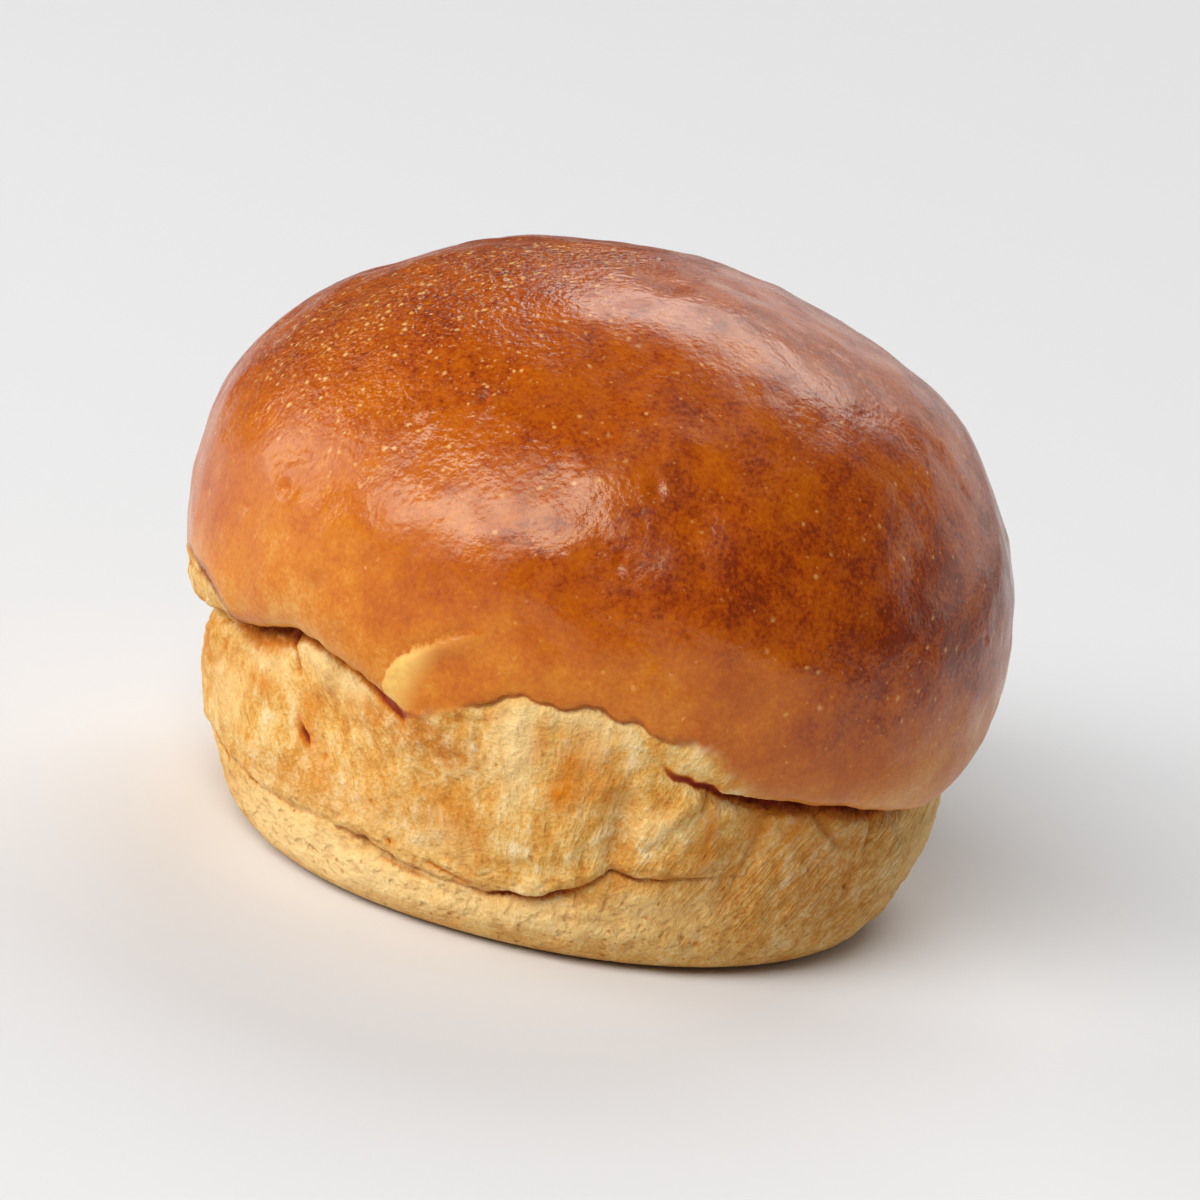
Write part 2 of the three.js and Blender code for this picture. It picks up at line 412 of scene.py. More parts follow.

# Holes, blisters and pores that are large enough to have a shape of their own; the holes are darkened with
# painted shade
PITS = (
    Pit(-41.6, 16.2, 0.6, -1, 0.1, 1.2),
    Pit(-42.6, 17, 0.35, -0.4, 0, 0.5),
    Pit(-40.9, 15.6, 0.35, -0.4, 0, 0.6),
    Pit(-37.2, 15, 0.45, -0.4, 0, 0.45),
    Pit(-35.6, 13.6, 0.4, -0.3, 0, 0.35),
    Pit(-23.4, 9.4, 0.4, -0.6, 0, 0.9),
    Pit(56.6, 7.8, 0.6, -0.6, 0, 0.5),
    Pit(49.7, 10.9, 0.45, -0.5, 0, 0.6),
    Pit(24.8, 4.7, 0.55, -0.4, 0, 0.4),
    Pit(21.7, 5.5, 0.45, -0.4, 0, 0.4),
    Pit(28.1, 12.4, 0.6, -0.35, 0, 0.2),
    Pit(17.5, 10.2, 0.4, -0.4, 0, 0.2),
    Pit(-47.6, 41.4, 0.85, -0.5, 0.25),
    Pit(-54.5, 37.6, 0.6, -0.3, 0.15),
    Pit(6.4, 51.3, 0.9, -0.3, 0.1, 0.15),
    Pit(-31.5, 51.8, 0.7, -0.3, 0.25),
    Pit(-30, 52.6, 0.5, -0.25, 0.2),
    Pit(-24, 55.2, 0.7, -0.3, 0.25),
    Pit(-37.3, 34.6, 1, -0.15),
    Pit(2.8, 44.6, 0.5, -0.25, 0.05),
    Pit(-74, 61.6, 0.8, -0.4, 0.3, 0.4),
    Pit(-66, 60.6, 0.6, -0.3, 0.25, 0.2),
    Pit(-86, 62.4, 0.7, -0.3, 0.25),
    Pit(-112, 64, 1.6, 0.5),
    Pit(-150, 55, 0.8, -0.3, 0.2),
    Pit(140, 46, 0.9, -0.3, 0.2),
    Pit(70, 52, 0.6, -0.3, 0.1),
    Pit(66, 38, 0.5, -0.3, 0.1),
    Pit(42, 31, 0.6, 0.18),
    Pit(47, 27.5, 0.5, 0.15),
    Pit(51, 33, 0.6, 0.15),
    Pit(36, 27, 0.4, 0.12),
)

# Soft stains on the crumb and on the crust; the broad tan patch low on the right side is partly painted shade
STAINS = (
    Stain(Tint.GOLD, 0.2, 19.8, 2, 1.4, 1),
    Stain(Tint.GOLD, 0.4, 23, 1.4, 3, 0.6),
    Stain(Tint.GOLD, -41.6, 19.2, 2.2, 2.6, 0.85),
    Stain(Tint.GOLD, -40.4, 16.2, 2.2, 1.6, 0.7),
    Stain(Tint.GOLD, -37, 14, 2.4, 2, 0.6),
    Stain(Tint.GOLD, -51, 19.4, 2.6, 1.1, 0.8),
    Stain(Tint.GOLD, -76, 27.4, 12, 2.4, 0.3),
    Stain(Tint.GOLD, 21.4, 17.4, 1.2, 3.6, 1),
    Stain(Tint.GOLD, 29.5, 18.6, 2.4, 2.2, 0.9),
    Stain(Tint.GOLD, 36, 18, 2.6, 1.8, 0.7),
    Stain(Tint.GOLD, -13, 14.5, 5, 3, 0.45),
    Stain(Tint.GOLD, 4, 22.5, 5, 4.4, 0.6),
    Stain(Tint.GOLD, -26, 13.6, 7, 3, 0.35),
    Stain(Tint.GOLD, -70, 17.5, 6, 3, 0.3),
    Stain(Tint.GOLD, 130, 16, 10, 4, 0.5),
    Stain(Tint.GOLD, -150, 17, 9, 4, 0.5),
    Stain(Tint.TAN, -22, 22.6, 8, 2.6, 1),
    Stain(Tint.TAN, -15, 21.4, 5, 2, 0.6),
    Stain(Tint.TAN, -29, 21.6, 4, 1.6, 0.5),
    Stain(Tint.TAN, 9, 17, 1.6, 4.6, 0.5),
    Stain(Tint.TAN, -28, 17, 5, 1.6, 0.4),
    Stain(Tint.TAN, -50, 18.6, 3, 1.6, 0.5),
    # Partly painted shade: the right side, turned from the light, is darker and browner.
    Stain(Tint.TAN, 44, 13, 17, 9, 0.85),
    Stain(Tint.TAN, 76, 6, 16, 5, 0.3),
    Stain(Tint.TAN, -70, 18, 9, 4, 0.4),
    Stain(Tint.TAN, -44, 11, 14, 2.6, 0.35),
    Stain(Tint.TAN, -40, 11.5, 12, 2.6, 0.25),
    Stain(Tint.TAN, 24, 14, 6, 5, 0.4),
    Stain(Tint.TAN, -16, 15.5, 5, 5, 0.35),
    Stain(Tint.TAN, 175, 18, 14, 4, 0.5),
    Stain(Tint.CREAM, -40, 25.6, 3, 2, 0.9),
    Stain(Tint.CREAM, -32.5, 24.2, 5, 2, 0.9),
    Stain(Tint.CREAM, -52, 21.8, 6, 1.4, 0.8),
    Stain(Tint.CREAM, -60, 16, 4, 3.4, 0.7),
    Stain(Tint.CREAM, -66, 12, 8, 4, 0.3),
    Stain(Tint.CREAM, -7, 25.6, 2.6, 3, 1),
    Stain(Tint.CREAM, -6, 21.5, 2.4, 4.5, 0.9),
    Stain(Tint.CREAM, 3.5, 25.5, 2.2, 2.6, 0.6),
    Stain(Tint.CREAM, -14, 12, 4, 2.4, 0.4),
    Stain(Tint.CREAM, 1, 28.6, 5, 1.2, 0.9),
    Stain(Tint.CREAM, -40, 4.4, 22, 3.4, 1),
    Stain(Tint.CREAM, -30, 10.5, 6, 1.5, 0.3),
    Stain(Tint.CREAM, 24, 9, 4, 2, 0.6),
    Stain(Tint.CREAM, 15, 8.6, 5, 1.6, 0.7),
    Stain(Tint.CREAM, 7.6, 28.6, 1.2, 1, 0.7),
    Stain(Tint.CREAM, 17, 26.2, 2, 1, 0.6),
    Stain(Tint.CREAM, 14, 18.4, 3, 1.6, 0.6),
    Stain(Tint.TAN, 12, 13.8, 4, 2.4, 0.4),
    Stain(Tint.CREAM, 2, 5.4, 22, 2.4, 0.6),
    Stain(Tint.CREAM, -40, 4.6, 20, 3, 0.4),
    Stain(Tint.CREAM, 80, 15, 14, 10, 0.9),
    Stain(Tint.CHAR, -37.8, 34.5, 2, 1, 1),
    Stain(Tint.CHAR, -32.7, 31, 1.7, 0.9, 0.6),
    Stain(Tint.CHAR, 6.8, 51.3, 1.6, 1.2, 0.7),
    Stain(Tint.CHAR, -29.2, 47.4, 1, 0.7, 0.4),
    Stain(Tint.CHAR, -26, 53.6, 2, 1.4, 0.5),
    Stain(Tint.CHAR, -14, 55.5, 2, 1.5, 0.5),
    Stain(Tint.CHAR, 4, 53, 3, 2, 0.35),
    Stain(Tint.CHAR, 22.3, 33.6, 2, 1.6, 0.4),
    Stain(Tint.CHAR, 38, 40, 2, 1.5, 0.5),
    Stain(Tint.CHAR, 33, 35.4, 2, 1.5, 0.4),
    Stain(Tint.CHAR, 52, 44, 2, 1.4, 0.4),
    Stain(Tint.CHAR, 46, 36.5, 2.4, 1.4, 0.5),
    Stain(Tint.CHAR, -74, 62, 3, 1.2, 0.6),
    Stain(Tint.BAKE, 52, 36, 26, 11, 0.24),
    Stain(Tint.BAKE, 32, 28, 18, 5, 0.2),
    Stain(Tint.BAKE, 100, 40, 34, 14, 0.05),
    Stain(Tint.BAKE, -55, 42, 30, 12, -0.17),
    Stain(Tint.BAKE, -40, 42, 18, 8, -0.12),
    Stain(Tint.BAKE, -38, 31, 14, 4, -0.1),
    Stain(Tint.BAKE, 8, 33.5, 22, 2.5, -0.05),
    Stain(Tint.BAKE, -17, 29, 6, 4, 0.1),
    Stain(Tint.BAKE, 44, 22.5, 22, 3, -0.16),
    Stain(Tint.BAKE, 84, 27.5, 22, 3.4, -0.2),
    Stain(Tint.BAKE, 150, 26, 44, 4, -0.3),
    Stain(Tint.BAKE, -140, 27, 50, 4, -0.3),
    Stain(Tint.BAKE, 170, 50, 50, 12, 0.15),
)


@dataclass(frozen=True)
class RollForm:
    """The roll's skin as a formula: a dome whose lip hangs over an upright pale side on a flat."""

    height: float = 67.0
    dome_radius: float = 45.6
    dome_widest_z: float = 32.0
    dome_power: float = 2.1
    depth_share: float = 0.972
    flat_radius: float = 33.0
    side_radius: float = 41.0
    edge_height: float = 15.0
    edge_power: float = 2.4
    flare_from_z: float = 5.0
    flare_past_widest: float = 2.0
    lip_curl: float = 0.0085
    lip_rounding: float = 5.0
    lip_hang: float = 2.2
    hang_centre: float = 1.8
    hang_start: float = 0.6
    crease_depth: float = 3.2
    crease_shoulder: float = 1.6
    fold_reach: float = 1.5
    crack_width: float = 0.3
    lean: float = 1.2
    body_shift: float = 1.0
    body_shift_top_z: float = 26.0
    mean_crease_z: float = 22.0
    ring_crowding: float = 1.3
    crease_fade: float = 1.5
    crust_step: float = 0.5
    foot_power: float = 1.3
    fold_belly: float = 0.35
    fold_groove: float = 0.55
    groove_above: float = 0.35
    fold_crack: float = 0.6
    fold_patches: float = 5.0
    fold_patchiness: float = 1.5
    fold_patchy_until: tuple[float, float] = (-22, -10)
    ragged_grain: float = 7.0
    ragged_rise: float = 0.9
    fray_grain: float = 2.2
    fray_rise: float = 0.6
    open_calm: float = 0.8
    wave_grain: float = 3.5
    wave_rise: float = 0.5

    def side(self, z: np.ndarray) -> np.ndarray:
        """Works out the upright pale wall with its rounded bottom edge.

        Args:
            z: Height.

        Returns:
            The wall's radius there.
        """
        below = 1 - np.minimum(z / self.edge_height, 1)
        share = (1 - below**self.edge_power) ** (1 / self.edge_power)
        return self.flat_radius + (self.side_radius - self.flat_radius) * share

    def dome(self, z: np.ndarray) -> np.ndarray:
        """Radius of the glazed dome above its widest level."""
        share = np.clip((z - self.dome_widest_z) / (self.height - self.dome_widest_z), 0, 1)
        return self.dome_radius * (1 - share**self.dome_power) ** (1 / self.dome_power)

    def shut(self, z: np.ndarray) -> np.ndarray:
        """Works out the skin where the crease is shut and the side swells straight into the dome.

        Args:
            z: Height.

        Returns:
            The skin's radius there.
        """
        flare = smooth(z, self.flare_from_z, self.dome_widest_z + self.flare_past_widest)
        below = self.side(z) + (self.dome_radius - self.side_radius) * flare
        return np.where(z >= self.dome_widest_z, self.dome(z), below)

    def lip(self, z: np.ndarray) -> np.ndarray:
        """Radius of the dome where its crust curls in towards an open crease."""
        below = self.dome_radius - self.lip_curl * (self.dome_widest_z - z) ** 2
        return np.where(z >= self.dome_widest_z, self.dome(z), below)

    def crease(self, bearing: np.ndarray) -> tuple[np.ndarray, np.ndarray]:
        """Reads the crease, with the ragged edge that torn crust has.

        Args:
            bearing: Where it is read.

        Returns:
            Its height, and how far it is open.
        """
        opening = np.clip(along(CREASE, "amount", bearing), 0, 1)
        places = on_circle(bearing, self.dome_radius)
        ragged = self.ragged_rise * wander(places, self.ragged_grain)
        ragged += self.fray_rise * wander(places + FRAY_SHIFT, self.fray_grain)
        return along(CREASE, "height", bearing) + ragged * (1 - self.open_calm * opening), opening

    def fold_z(self, bearing: np.ndarray) -> np.ndarray:
        """Height of the fold, with small waves along it."""
        waves = wander(on_circle(bearing, self.side_radius) + WAVE_SHIFT, self.wave_grain)
        return along(FOLD, "height", bearing) + self.wave_rise * waves

    def side_point(self, z: np.ndarray, crease_z: np.ndarray, opening: np.ndarray) -> np.ndarray:
        """Works out the pale side below the crease.

        Args:
            z: Height.
            crease_z: Height of the crease there.
            opening: How far the crease is open there.

        Returns:
            The side's radius there.
        """
        wall = blend(self.shut(z), self.side(z), opening)
        notch = self.crease_depth * opening * bell((crease_z - z) / self.crease_shoulder)
        return wall - notch

    def dome_point(
        self, share: np.ndarray, crease_z: np.ndarray, opening: np.ndarray
    ) -> tuple[np.ndarray, np.ndarray, np.ndarray]:
        """A point of the crust.

        Args:
            share: Share of the way from the crease over the lip to the top.
            crease_z: Height of the crease there.
            opening: How far the crease is open there.

        Returns:
            The point's radius, its height, and its height before the lip hangs down.
        """
        up = np.sin(share**self.ring_crowding * math.pi / 2)
        offset = (crease_z - self.mean_crease_z) * (1 - up) ** self.crease_fade
        z = self.mean_crease_z + (self.height - self.mean_crease_z) * up + offset
        rise = z - crease_z
        curl = 1 - np.sqrt(1 - (1 - np.clip(rise / self.lip_rounding, 0, 1)) ** 2)
        notch_radius = self.side(crease_z) - self.crease_depth
        lip = blend(self.lip(z), notch_radius, curl)
        hang = self.lip_hang * opening * bell((rise - self.hang_centre) / self.lip_hang)
        hang = hang * (1 - bell(rise / self.hang_start))
        return blend(self.shut(z), lip, opening), z - hang, z


@dataclass(frozen=True)
class Rings:
    """How many rings of vertices each stretch of the section has, and how many steps go round."""

    flat: int = 6
    foot: int = 30
    belly: int = 64
    dome: int = 104
    round: int = 448
    front_crowding: float = 0.36

    @property
    def fold(self) -> int:
        """The ring that runs along the fold."""
        return self.flat + self.foot

    @property
    def crease(self) -> int:
        """The ring that runs along the crease."""
        return self.fold + self.belly

    @property
    def top(self) -> int:
        """The ring that is the single vertex on top."""
        return self.crease + self.dome


@dataclass
class Skin:
    """Where each vertex of the roll lies, and what the finish needs to know there."""

    bearing: np.ndarray
    z: np.ndarray
    points: np.ndarray
    crust: np.ndarray
    softness: np.ndarray
    crease_gap: np.ndarray
    fold_gap: np.ndarray


@dataclass(frozen=True)
class Lumps:
    """Uneven lumps in the skin: their size, and how far they move it from its lowest to its highest."""

    name: str
    grain: float
    reach: float


@dataclass(frozen=True)
class BreadRoll:
    """The roll: a lathed bun, sculpted into its torn, folded and blistered skin."""

    name: str = "glazed_roll"
    form: RollForm = RollForm()
    rings: Rings = Rings()
    rim_place: float = 1.5
    rim_width: float = 0.6
    front_edge: Span = Span(-15, -11, 17, 23)
    left_edge: Span = Span(-79, -69, -56, -52)
    flap_span: Span = Span(-26.5, -25.4, -16, -10)
    front_line: Span = Span(-14, -10, 12, 17)
    left_line: Span = Span(-78, -70, -54, -50)
    broad_line: Span = Span(-90, -70, -54, -44)
    strand_middle_z: float = 12.0
    strand_stretch: float = 5.0
    crumb_lumps: Lumps = Lumps("crumb lumps", 3.4, 0.8)
    crumb_grain: Lumps = Lumps("crumb grain", 1.3, 0.45)
    crust_waves: Lumps = Lumps("crust waves", 13, 1.1)
    crust_ripples: Lumps = Lumps("crust ripples", 3.2, 0.16)

    def build(self) -> bpy.types.Object:
        """Makes the finished piece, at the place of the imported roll.

        Returns:
            The piece, without its finish.
        """
        piece = self.lathe()
        skin = self.sculpt(piece)
        self.paint(piece, skin)
        self.roughen(piece)
        bpy.ops.object.shade_smooth()
        return piece

    def section(self) -> list[tuple[float, float]]:
        """Draws the plain bun's section.

        Returns:
            Its radius and height, one pair a ring, from the flat's middle to the top.
        """
        rings, form = self.rings, self.form
        pairs = [(form.flat_radius * n / rings.flat, 0.0) for n in range(rings.flat)]
        for n in range(rings.foot + rings.belly):
            share = n / (rings.foot + rings.belly)
            pairs.append((blend(form.flat_radius, form.side_radius, share), form.mean_crease_z * share))
        for n in range(rings.dome + 1):
            angle = math.pi / 2 * n / rings.dome
            z = blend(form.mean_crease_z, form.height, math.sin(angle))
            pairs.append((form.dome_radius * math.cos(angle), z))
        return pairs

    def lathe(self) -> bpy.types.Object:
        """Draws the section as a chain of edges and spins it round the upright axis.

        Returns:
            The lathed bun, whose vertices know their ring.
        """
        bpy.ops.object.select_all(action="DESELECT")
        bpy.ops.mesh.primitive_plane_add(size=MM, location=(0, 0, 0))
        piece = bpy.context.object
        piece.name = self.name
        pairs = self.section()
        bpy.ops.object.mode_set(mode="EDIT")
        bpy.ops.mesh.select_all(action="SELECT")
        bpy.ops.mesh.merge(type="CENTER")
        for (radius, z), (next_radius, next_z) in zip(pairs, pairs[1:]):
            step = ((next_radius - radius) * MM, 0, (next_z - z) * MM)
            bpy.ops.mesh.extrude_vertices_move(TRANSFORM_OT_translate={"value": step})
        bpy.ops.object.mode_set(mode="OBJECT")
        ring = piece.data.attributes.new("ring", "FLOAT", "POINT")
        ring.data.foreach_set("value", np.arange(len(pairs), dtype=np.float32))
        bpy.ops.object.mode_set(mode="EDIT")
        bpy.ops.mesh.select_all(action="SELECT")
        bpy.ops.mesh.spin(steps=self.rings.round, angle=2 * math.pi, center=(0, 0, 0), axis=(0, 0, 1))
        bpy.ops.mesh.select_all(action="SELECT")
        bpy.ops.mesh.remove_doubles(threshold=MM / 1000)
        bpy.ops.mesh.normals_make_consistent(inside=False)
        bpy.ops.object.mode_set(mode="OBJECT")
        return piece

    def sculpt(self, piece: bpy.types.Object) -> Skin:
        """Moves every vertex of the lathed bun onto the finished skin.

        Args:
            piece: The lathed bun, whose vertices know their ring.

        Returns:
            The skin, for the finish.
        """
        count = len(piece.data.vertices)
        plain = np.empty(count * 3)
        piece.data.vertices.foreach_get("co", plain)
        plain = plain.reshape(-1, 3)
        ring = np.empty(count)
        piece.data.attributes["ring"].data.foreach_get("value", ring)
        angle = np.arctan2(plain[:, 0], -plain[:, 1])
        bearing = np.degrees(angle - self.rings.front_crowding * np.sin(angle))
        skin = self.skin(np.round(ring), turned(bearing))
        low, high = (np.array(corner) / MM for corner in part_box(ROLL_NODE))
        own_low, own_high = skin.points.min(0), skin.points.max(0)
        middle = (low + high - own_low - own_high) / 2
        skin.points += [middle[0], middle[1], 0]
        piece.data.vertices.foreach_set("co", (skin.points * MM).ravel())
        piece.data.attributes.remove(piece.data.attributes["ring"])
        piece.data.update()
        return skin

    def skin(self, ring: np.ndarray, bearing: np.ndarray) -> Skin:
        """Works out the skin at rings and bearings.

        Args:
            ring: Ring of each vertex, from 0 in the middle of the flat.
            bearing: Bearing of each vertex.

        Returns:
            The skin there.
        """
        rings, form = self.rings, self.form
        steps, where = np.unique(np.round(bearing, 4), return_inverse=True)
        crease_z, opening = (values[where] for values in form.crease(steps))
        fold_z = form.fold_z(steps)[where]
        on_flat = ring < rings.flat
        on_foot = (ring >= rings.flat) & (ring < rings.fold)
        on_dome = ring > rings.crease
        foot = np.clip((ring - rings.flat) / rings.foot, 0, 1)
        belly = np.clip((ring - rings.fold) / rings.belly, 0, 1)
        dome = np.clip((ring - rings.crease) / rings.dome, 0, 1)
        foot_z = fold_z * (1 - (1 - foot**2) ** form.foot_power)
        belly_z = fold_z + (crease_z - fold_z) * (belly + smooth(belly, 0, 1)) / 2
        side_z = np.where(on_foot, foot_z, belly_z)
        side_radius = form.side_point(side_z, crease_z, opening)
        dome_radius, dome_z, dome_level = form.dome_point(dome, crease_z, opening)
        radius = np.where(on_dome, dome_radius, side_radius)
        z = np.where(on_dome, dome_z, side_z)
        level = np.where(on_dome, dome_level, side_z)
        radius = np.where(on_flat, form.flat_radius * ring / rings.flat, radius)
        z = np.where(on_flat, 0, z)
        level = np.where(on_flat, 0, level)
        border_z = crease_z + np.maximum(along(PALE_RISE, "height", bearing), 0)
        crust = level - border_z
        softness = np.maximum(along(PALE_RISE, "amount", bearing), 0.1)
        fold_gap = level - fold_z
        relief = self.swell(bearing, z) + self.strokes(bearing, level, "push")
        relief = relief + self.pits(bearing, level, "push")
        relief = relief + self.fold_relief(bearing, fold_gap)
        relief = relief + self.edge_relief(bearing, level, crust, opening)
        on_axis = (ring == 0) | (ring == rings.top)
        relief = np.where(on_flat | on_axis, 0, relief)
        radius = np.where(on_axis, 0, radius + relief)
        shift = form.body_shift * np.sqrt(np.clip(1 - z / form.body_shift_top_z, 0, 1))
        lean_share = (z - form.body_shift_top_z) / (form.height - form.body_shift_top_z)
        lean = form.lean * np.clip(lean_share, 0, 1)
        x = radius * np.sin(np.radians(bearing)) + shift - lean
        y = -radius * np.cos(np.radians(bearing)) * form.depth_share
        crease_gap = level - crease_z
        return Skin(bearing, level, np.stack([x, y, z], 1), crust, softness, crease_gap, fold_gap)

    def swell(self, bearing: np.ndarray, z: np.ndarray) -> np.ndarray:
        """Adds up the named swells and hollows.

        Args:
            bearing: Bearing of each vertex.
            z: Its height.

        Returns:
            The push at each vertex, in millimetres.
        """
        total = np.zeros_like(z)
        for s in SWELLS:
            total += s.push * bell(turned(bearing - s.bearing) / s.turn) * bell((z - s.z) / s.rise)
        return total

    def flattened(self, bearing: np.ndarray, centre: float, z: np.ndarray) -> np.ndarray:
        """Distance round the skin from a bearing, in millimetres along the surface."""
        return np.radians(turned(bearing - centre)) * self.form.dome(np.maximum(z, self.form.dome_widest_z))

    def strokes(self, bearing: np.ndarray, z: np.ndarray, column: str) -> np.ndarray:
        """Sum of the named ridges and grooves, each fading out past its two ends.

        Args:
            bearing: Bearing of each vertex.
            z: Its height.
            column: What is added up, push or shade.

        Returns:
            The sum at each vertex.
        """
        total = np.zeros_like(z)
        for s in STROKES:
            across = self.flattened(bearing, s.start[0], z)
            scale = math.radians(1) * self.form.side_radius
            end = np.array([(s.end[0] - s.start[0]) * scale, s.end[1] - s.start[1]])
            length = float(np.hypot(*end))
            share = np.clip((across * end[0] + (z - s.start[1]) * end[1]) / length**2, 0, 1)
            gap = np.hypot(across - share * end[0], z - s.start[1] - share * end[1])
            total += getattr(s, column) * bell(gap / s.width)
        return total

    def pits(self, bearing: np.ndarray, z: np.ndarray, column: str) -> np.ndarray:
        """Sum of the named holes and blisters.

        Args:
            bearing: Bearing of each vertex.
            z: Its height.
            column: What is added up, push or shade.

        Returns:
            The sum at each vertex.
        """
        total = np.zeros_like(z)
        for p in PITS:
            gap = np.hypot(self.flattened(bearing, p.bearing, z), z - p.z) / p.radius
            total += getattr(p, column) * bell(gap)
            if column == "push":
                total += p.rim * bell((gap - self.rim_place) / self.rim_width)
        return total

    def fold_relief(self, bearing: np.ndarray, gap: np.ndarray) -> np.ndarray:
        """How the fold pushes the skin: a belly above it, a groove below it and a thin crack in it.

        Args:
            bearing: Bearing of each vertex.
            gap: Its height above the fold.

        Returns:
            The push at each vertex, in millimetres.
        """
        form, reach = self.form, self.form.fold_reach
        places = np.stack([bearing, 0 * bearing, 0 * bearing], 1)
        steps, where = np.unique(np.round(places, 3), axis=0, return_inverse=True)
        patches = wander(steps + FOLD_SHIFT, form.fold_patches)[where.ravel()]
        uneven = 1 + form.fold_patchiness * (1 - smooth(bearing, *form.fold_patchy_until)) * patches
        depth = np.maximum(along(FOLD, "amount", bearing) * uneven, 0)
        belly = form.fold_belly * bell((gap - reach) / reach)
        groove = form.fold_groove * bell(gap / np.where(gap < 0, reach, reach * form.groove_above))
        crack = form.fold_crack * bell(gap / form.crack_width)
        return depth * (belly - groove - crack)

    def edge_relief(
        self, bearing: np.ndarray, z: np.ndarray, crust: np.ndarray, opening: np.ndarray
    ) -> np.ndarray:
        """How the crust's torn edge stands over the crumb where the crease is shut, and the flap over it.

        Args:
            bearing: Bearing of each vertex.
            z: Its height.
            crust: Its height above the crust's edge.
            opening: How far the crease is open there.

        Returns:
            The push at each vertex, in millimetres.
        """
        proud = 0.7 * self.front_edge.share(bearing) * (1 - opening) + 1.2 * self.left_edge.share(bearing)
        raised = smooth(crust, -0.15, 0.3) * bell(crust / 3.5)
        undercut = 0.45 * bell((crust + 0.35) / 0.45)
        above_flap = flap_edge(bearing, z)
        flap_step = 0.35 * bell((above_flap + 0.8) / 0.9) - 0.5 * bell((above_flap - 0.2) / 0.4)
        at_flap = self.flap_span.share(bearing)
        return self.form.crust_step * (proud * (raised - undercut) + at_flap * flap_step)

    def paint(self, piece: bpy.types.Object, skin: Skin) -> None:
        """Keeps on the mesh what the finish reads: where the crust ends, how baked it is, the stains, and
        where painted shade darkens the skin.

        Args:
            piece: The sculpted roll.
            skin: Its skin.
        """
        bearing, z = skin.bearing, skin.z
        self.keep(piece, "crust", skin.crust)
        self.keep(piece, "softness", skin.softness)
        self.keep(piece, "flap", flap_colour(bearing, z))
        self.keep(piece, "flap_gap", flap_edge(bearing, z))
        height_bake = 0.42 + 0.4 * smooth(z, 24, 44)
        for tint in Tint:
            total = height_bake if tint is Tint.BAKE else np.zeros_like(z)
            for s in STAINS:
                if s.tint is tint:
                    spread = bell(turned(bearing - s.bearing) / s.turn) * bell((z - s.z) / s.rise)
                    total = total + s.strength * spread
            self.keep(piece, tint.value, np.clip(total, 0, 1))
        self.keep(piece, "blisters", self.blistered(bearing, z))
        self.keep(piece, "pores", bell((z - 3.5) / 5) * (0.1 + 0.9 * bell(turned(bearing - 28) / 42)))
        # Painted shade: the darkening in the crease, fold, grooves and holes, and the dark lines along the
        # crust's torn edge, the crease and the fold.
        self.keep(piece, "painted_shade", self.painted_shade(skin))
        self.keep(piece, "edge_line", self.edge_line(bearing))
        self.keep(piece, "edge_reach", self.edge_reach(bearing))
        self.keep(piece, "crease_gap", skin.crease_gap)
        self.keep(piece, "crease_line", np.clip(along(SHADE_BELOW, "amount", bearing), 0, 1))
        self.keep(piece, "fold_gap", skin.fold_gap)
        self.keep(piece, "fold_line", np.clip(0.7 * along(FOLD, "amount", bearing), 0, 1))
        self.keep(piece, "wrinkled", bell(turned(bearing - 52) / 26) * bell((z - 10) / 8))
        self.keep(piece, "underside", 1 - smooth(z, 0.2, 2.5))
        vectors = piece.data.attributes.new("strand", "FLOAT_VECTOR", "POINT")
        vectors.data.foreach_set("vector", self.strands(bearing, z).astype(np.float32).ravel())

    def blistered(self, bearing: np.ndarray, z: np.ndarray) -> np.ndarray:
        """How blistered the crust is: most at the upper left, and a little low on the right.

        Args:
            bearing: Bearing of each vertex.
            z: Its height.

        Returns:
            From 0 to 1 at each vertex.
        """
        upper_left = 0.9 * smooth(z, 42, 55) * bell(turned(bearing + 66) / 42)
        low_right = 0.22 * bell(turned(bearing - 52) / 20) * bell((z - 33) / 9)
        return 0.1 * smooth(z, 34, 50) + upper_left + low_right

    def strands(self, bearing: np.ndarray, z: np.ndarray) -> np.ndarray:
        """Coordinates for the crumb's fibres, which slant more towards the roll's ends.

        Args:
            bearing: Bearing of each vertex.
            z: Its height.

        Returns:
            Rows of x, y and z, in millimetres, with the height shortened.
        """
        slant = 0.8 * np.sin(np.radians(bearing)) + 0.25 * np.sin(np.radians(2 * bearing))
        radius = self.form.side_radius
        angle = np.radians(bearing) - slant * (z - self.strand_middle_z) / radius
        return np.stack([radius * np.sin(angle), -radius * np.cos(angle), z / self.strand_stretch], 1)

    def painted_shade(self, skin: Skin) -> np.ndarray:
        """How strongly painted shade darkens each vertex: below the crease and under its lip, in the fold,
        and along grooves and holes.

        Args:
            skin: The roll's skin.

        Returns:
            From 0 on the open skin to 1 in the darkest painted shade.
        """
        reach = np.maximum(along(SHADE_BELOW, "height", skin.bearing), 0.1)
        strength = np.clip(along(SHADE_BELOW, "amount", skin.bearing), 0, 1)
        below = smooth(skin.crease_gap / reach, -1.6, -0.3) * (skin.crease_gap < 0.2)
        under_lip = (skin.crease_gap >= 0.2) * (1 - smooth(skin.crease_gap, 0.2, 1.1))
        depth = np.maximum(along(FOLD, "amount", skin.bearing), 0)
        in_fold = np.clip(0.3 * depth, 0, 0.45) * bell(skin.fold_gap / 0.5)
        lines = self.strokes(skin.bearing, skin.z, "shade") + self.pits(skin.bearing, skin.z, "shade")
        return np.clip(strength * np.maximum(below, under_lip) + in_fold + lines, 0, 1)

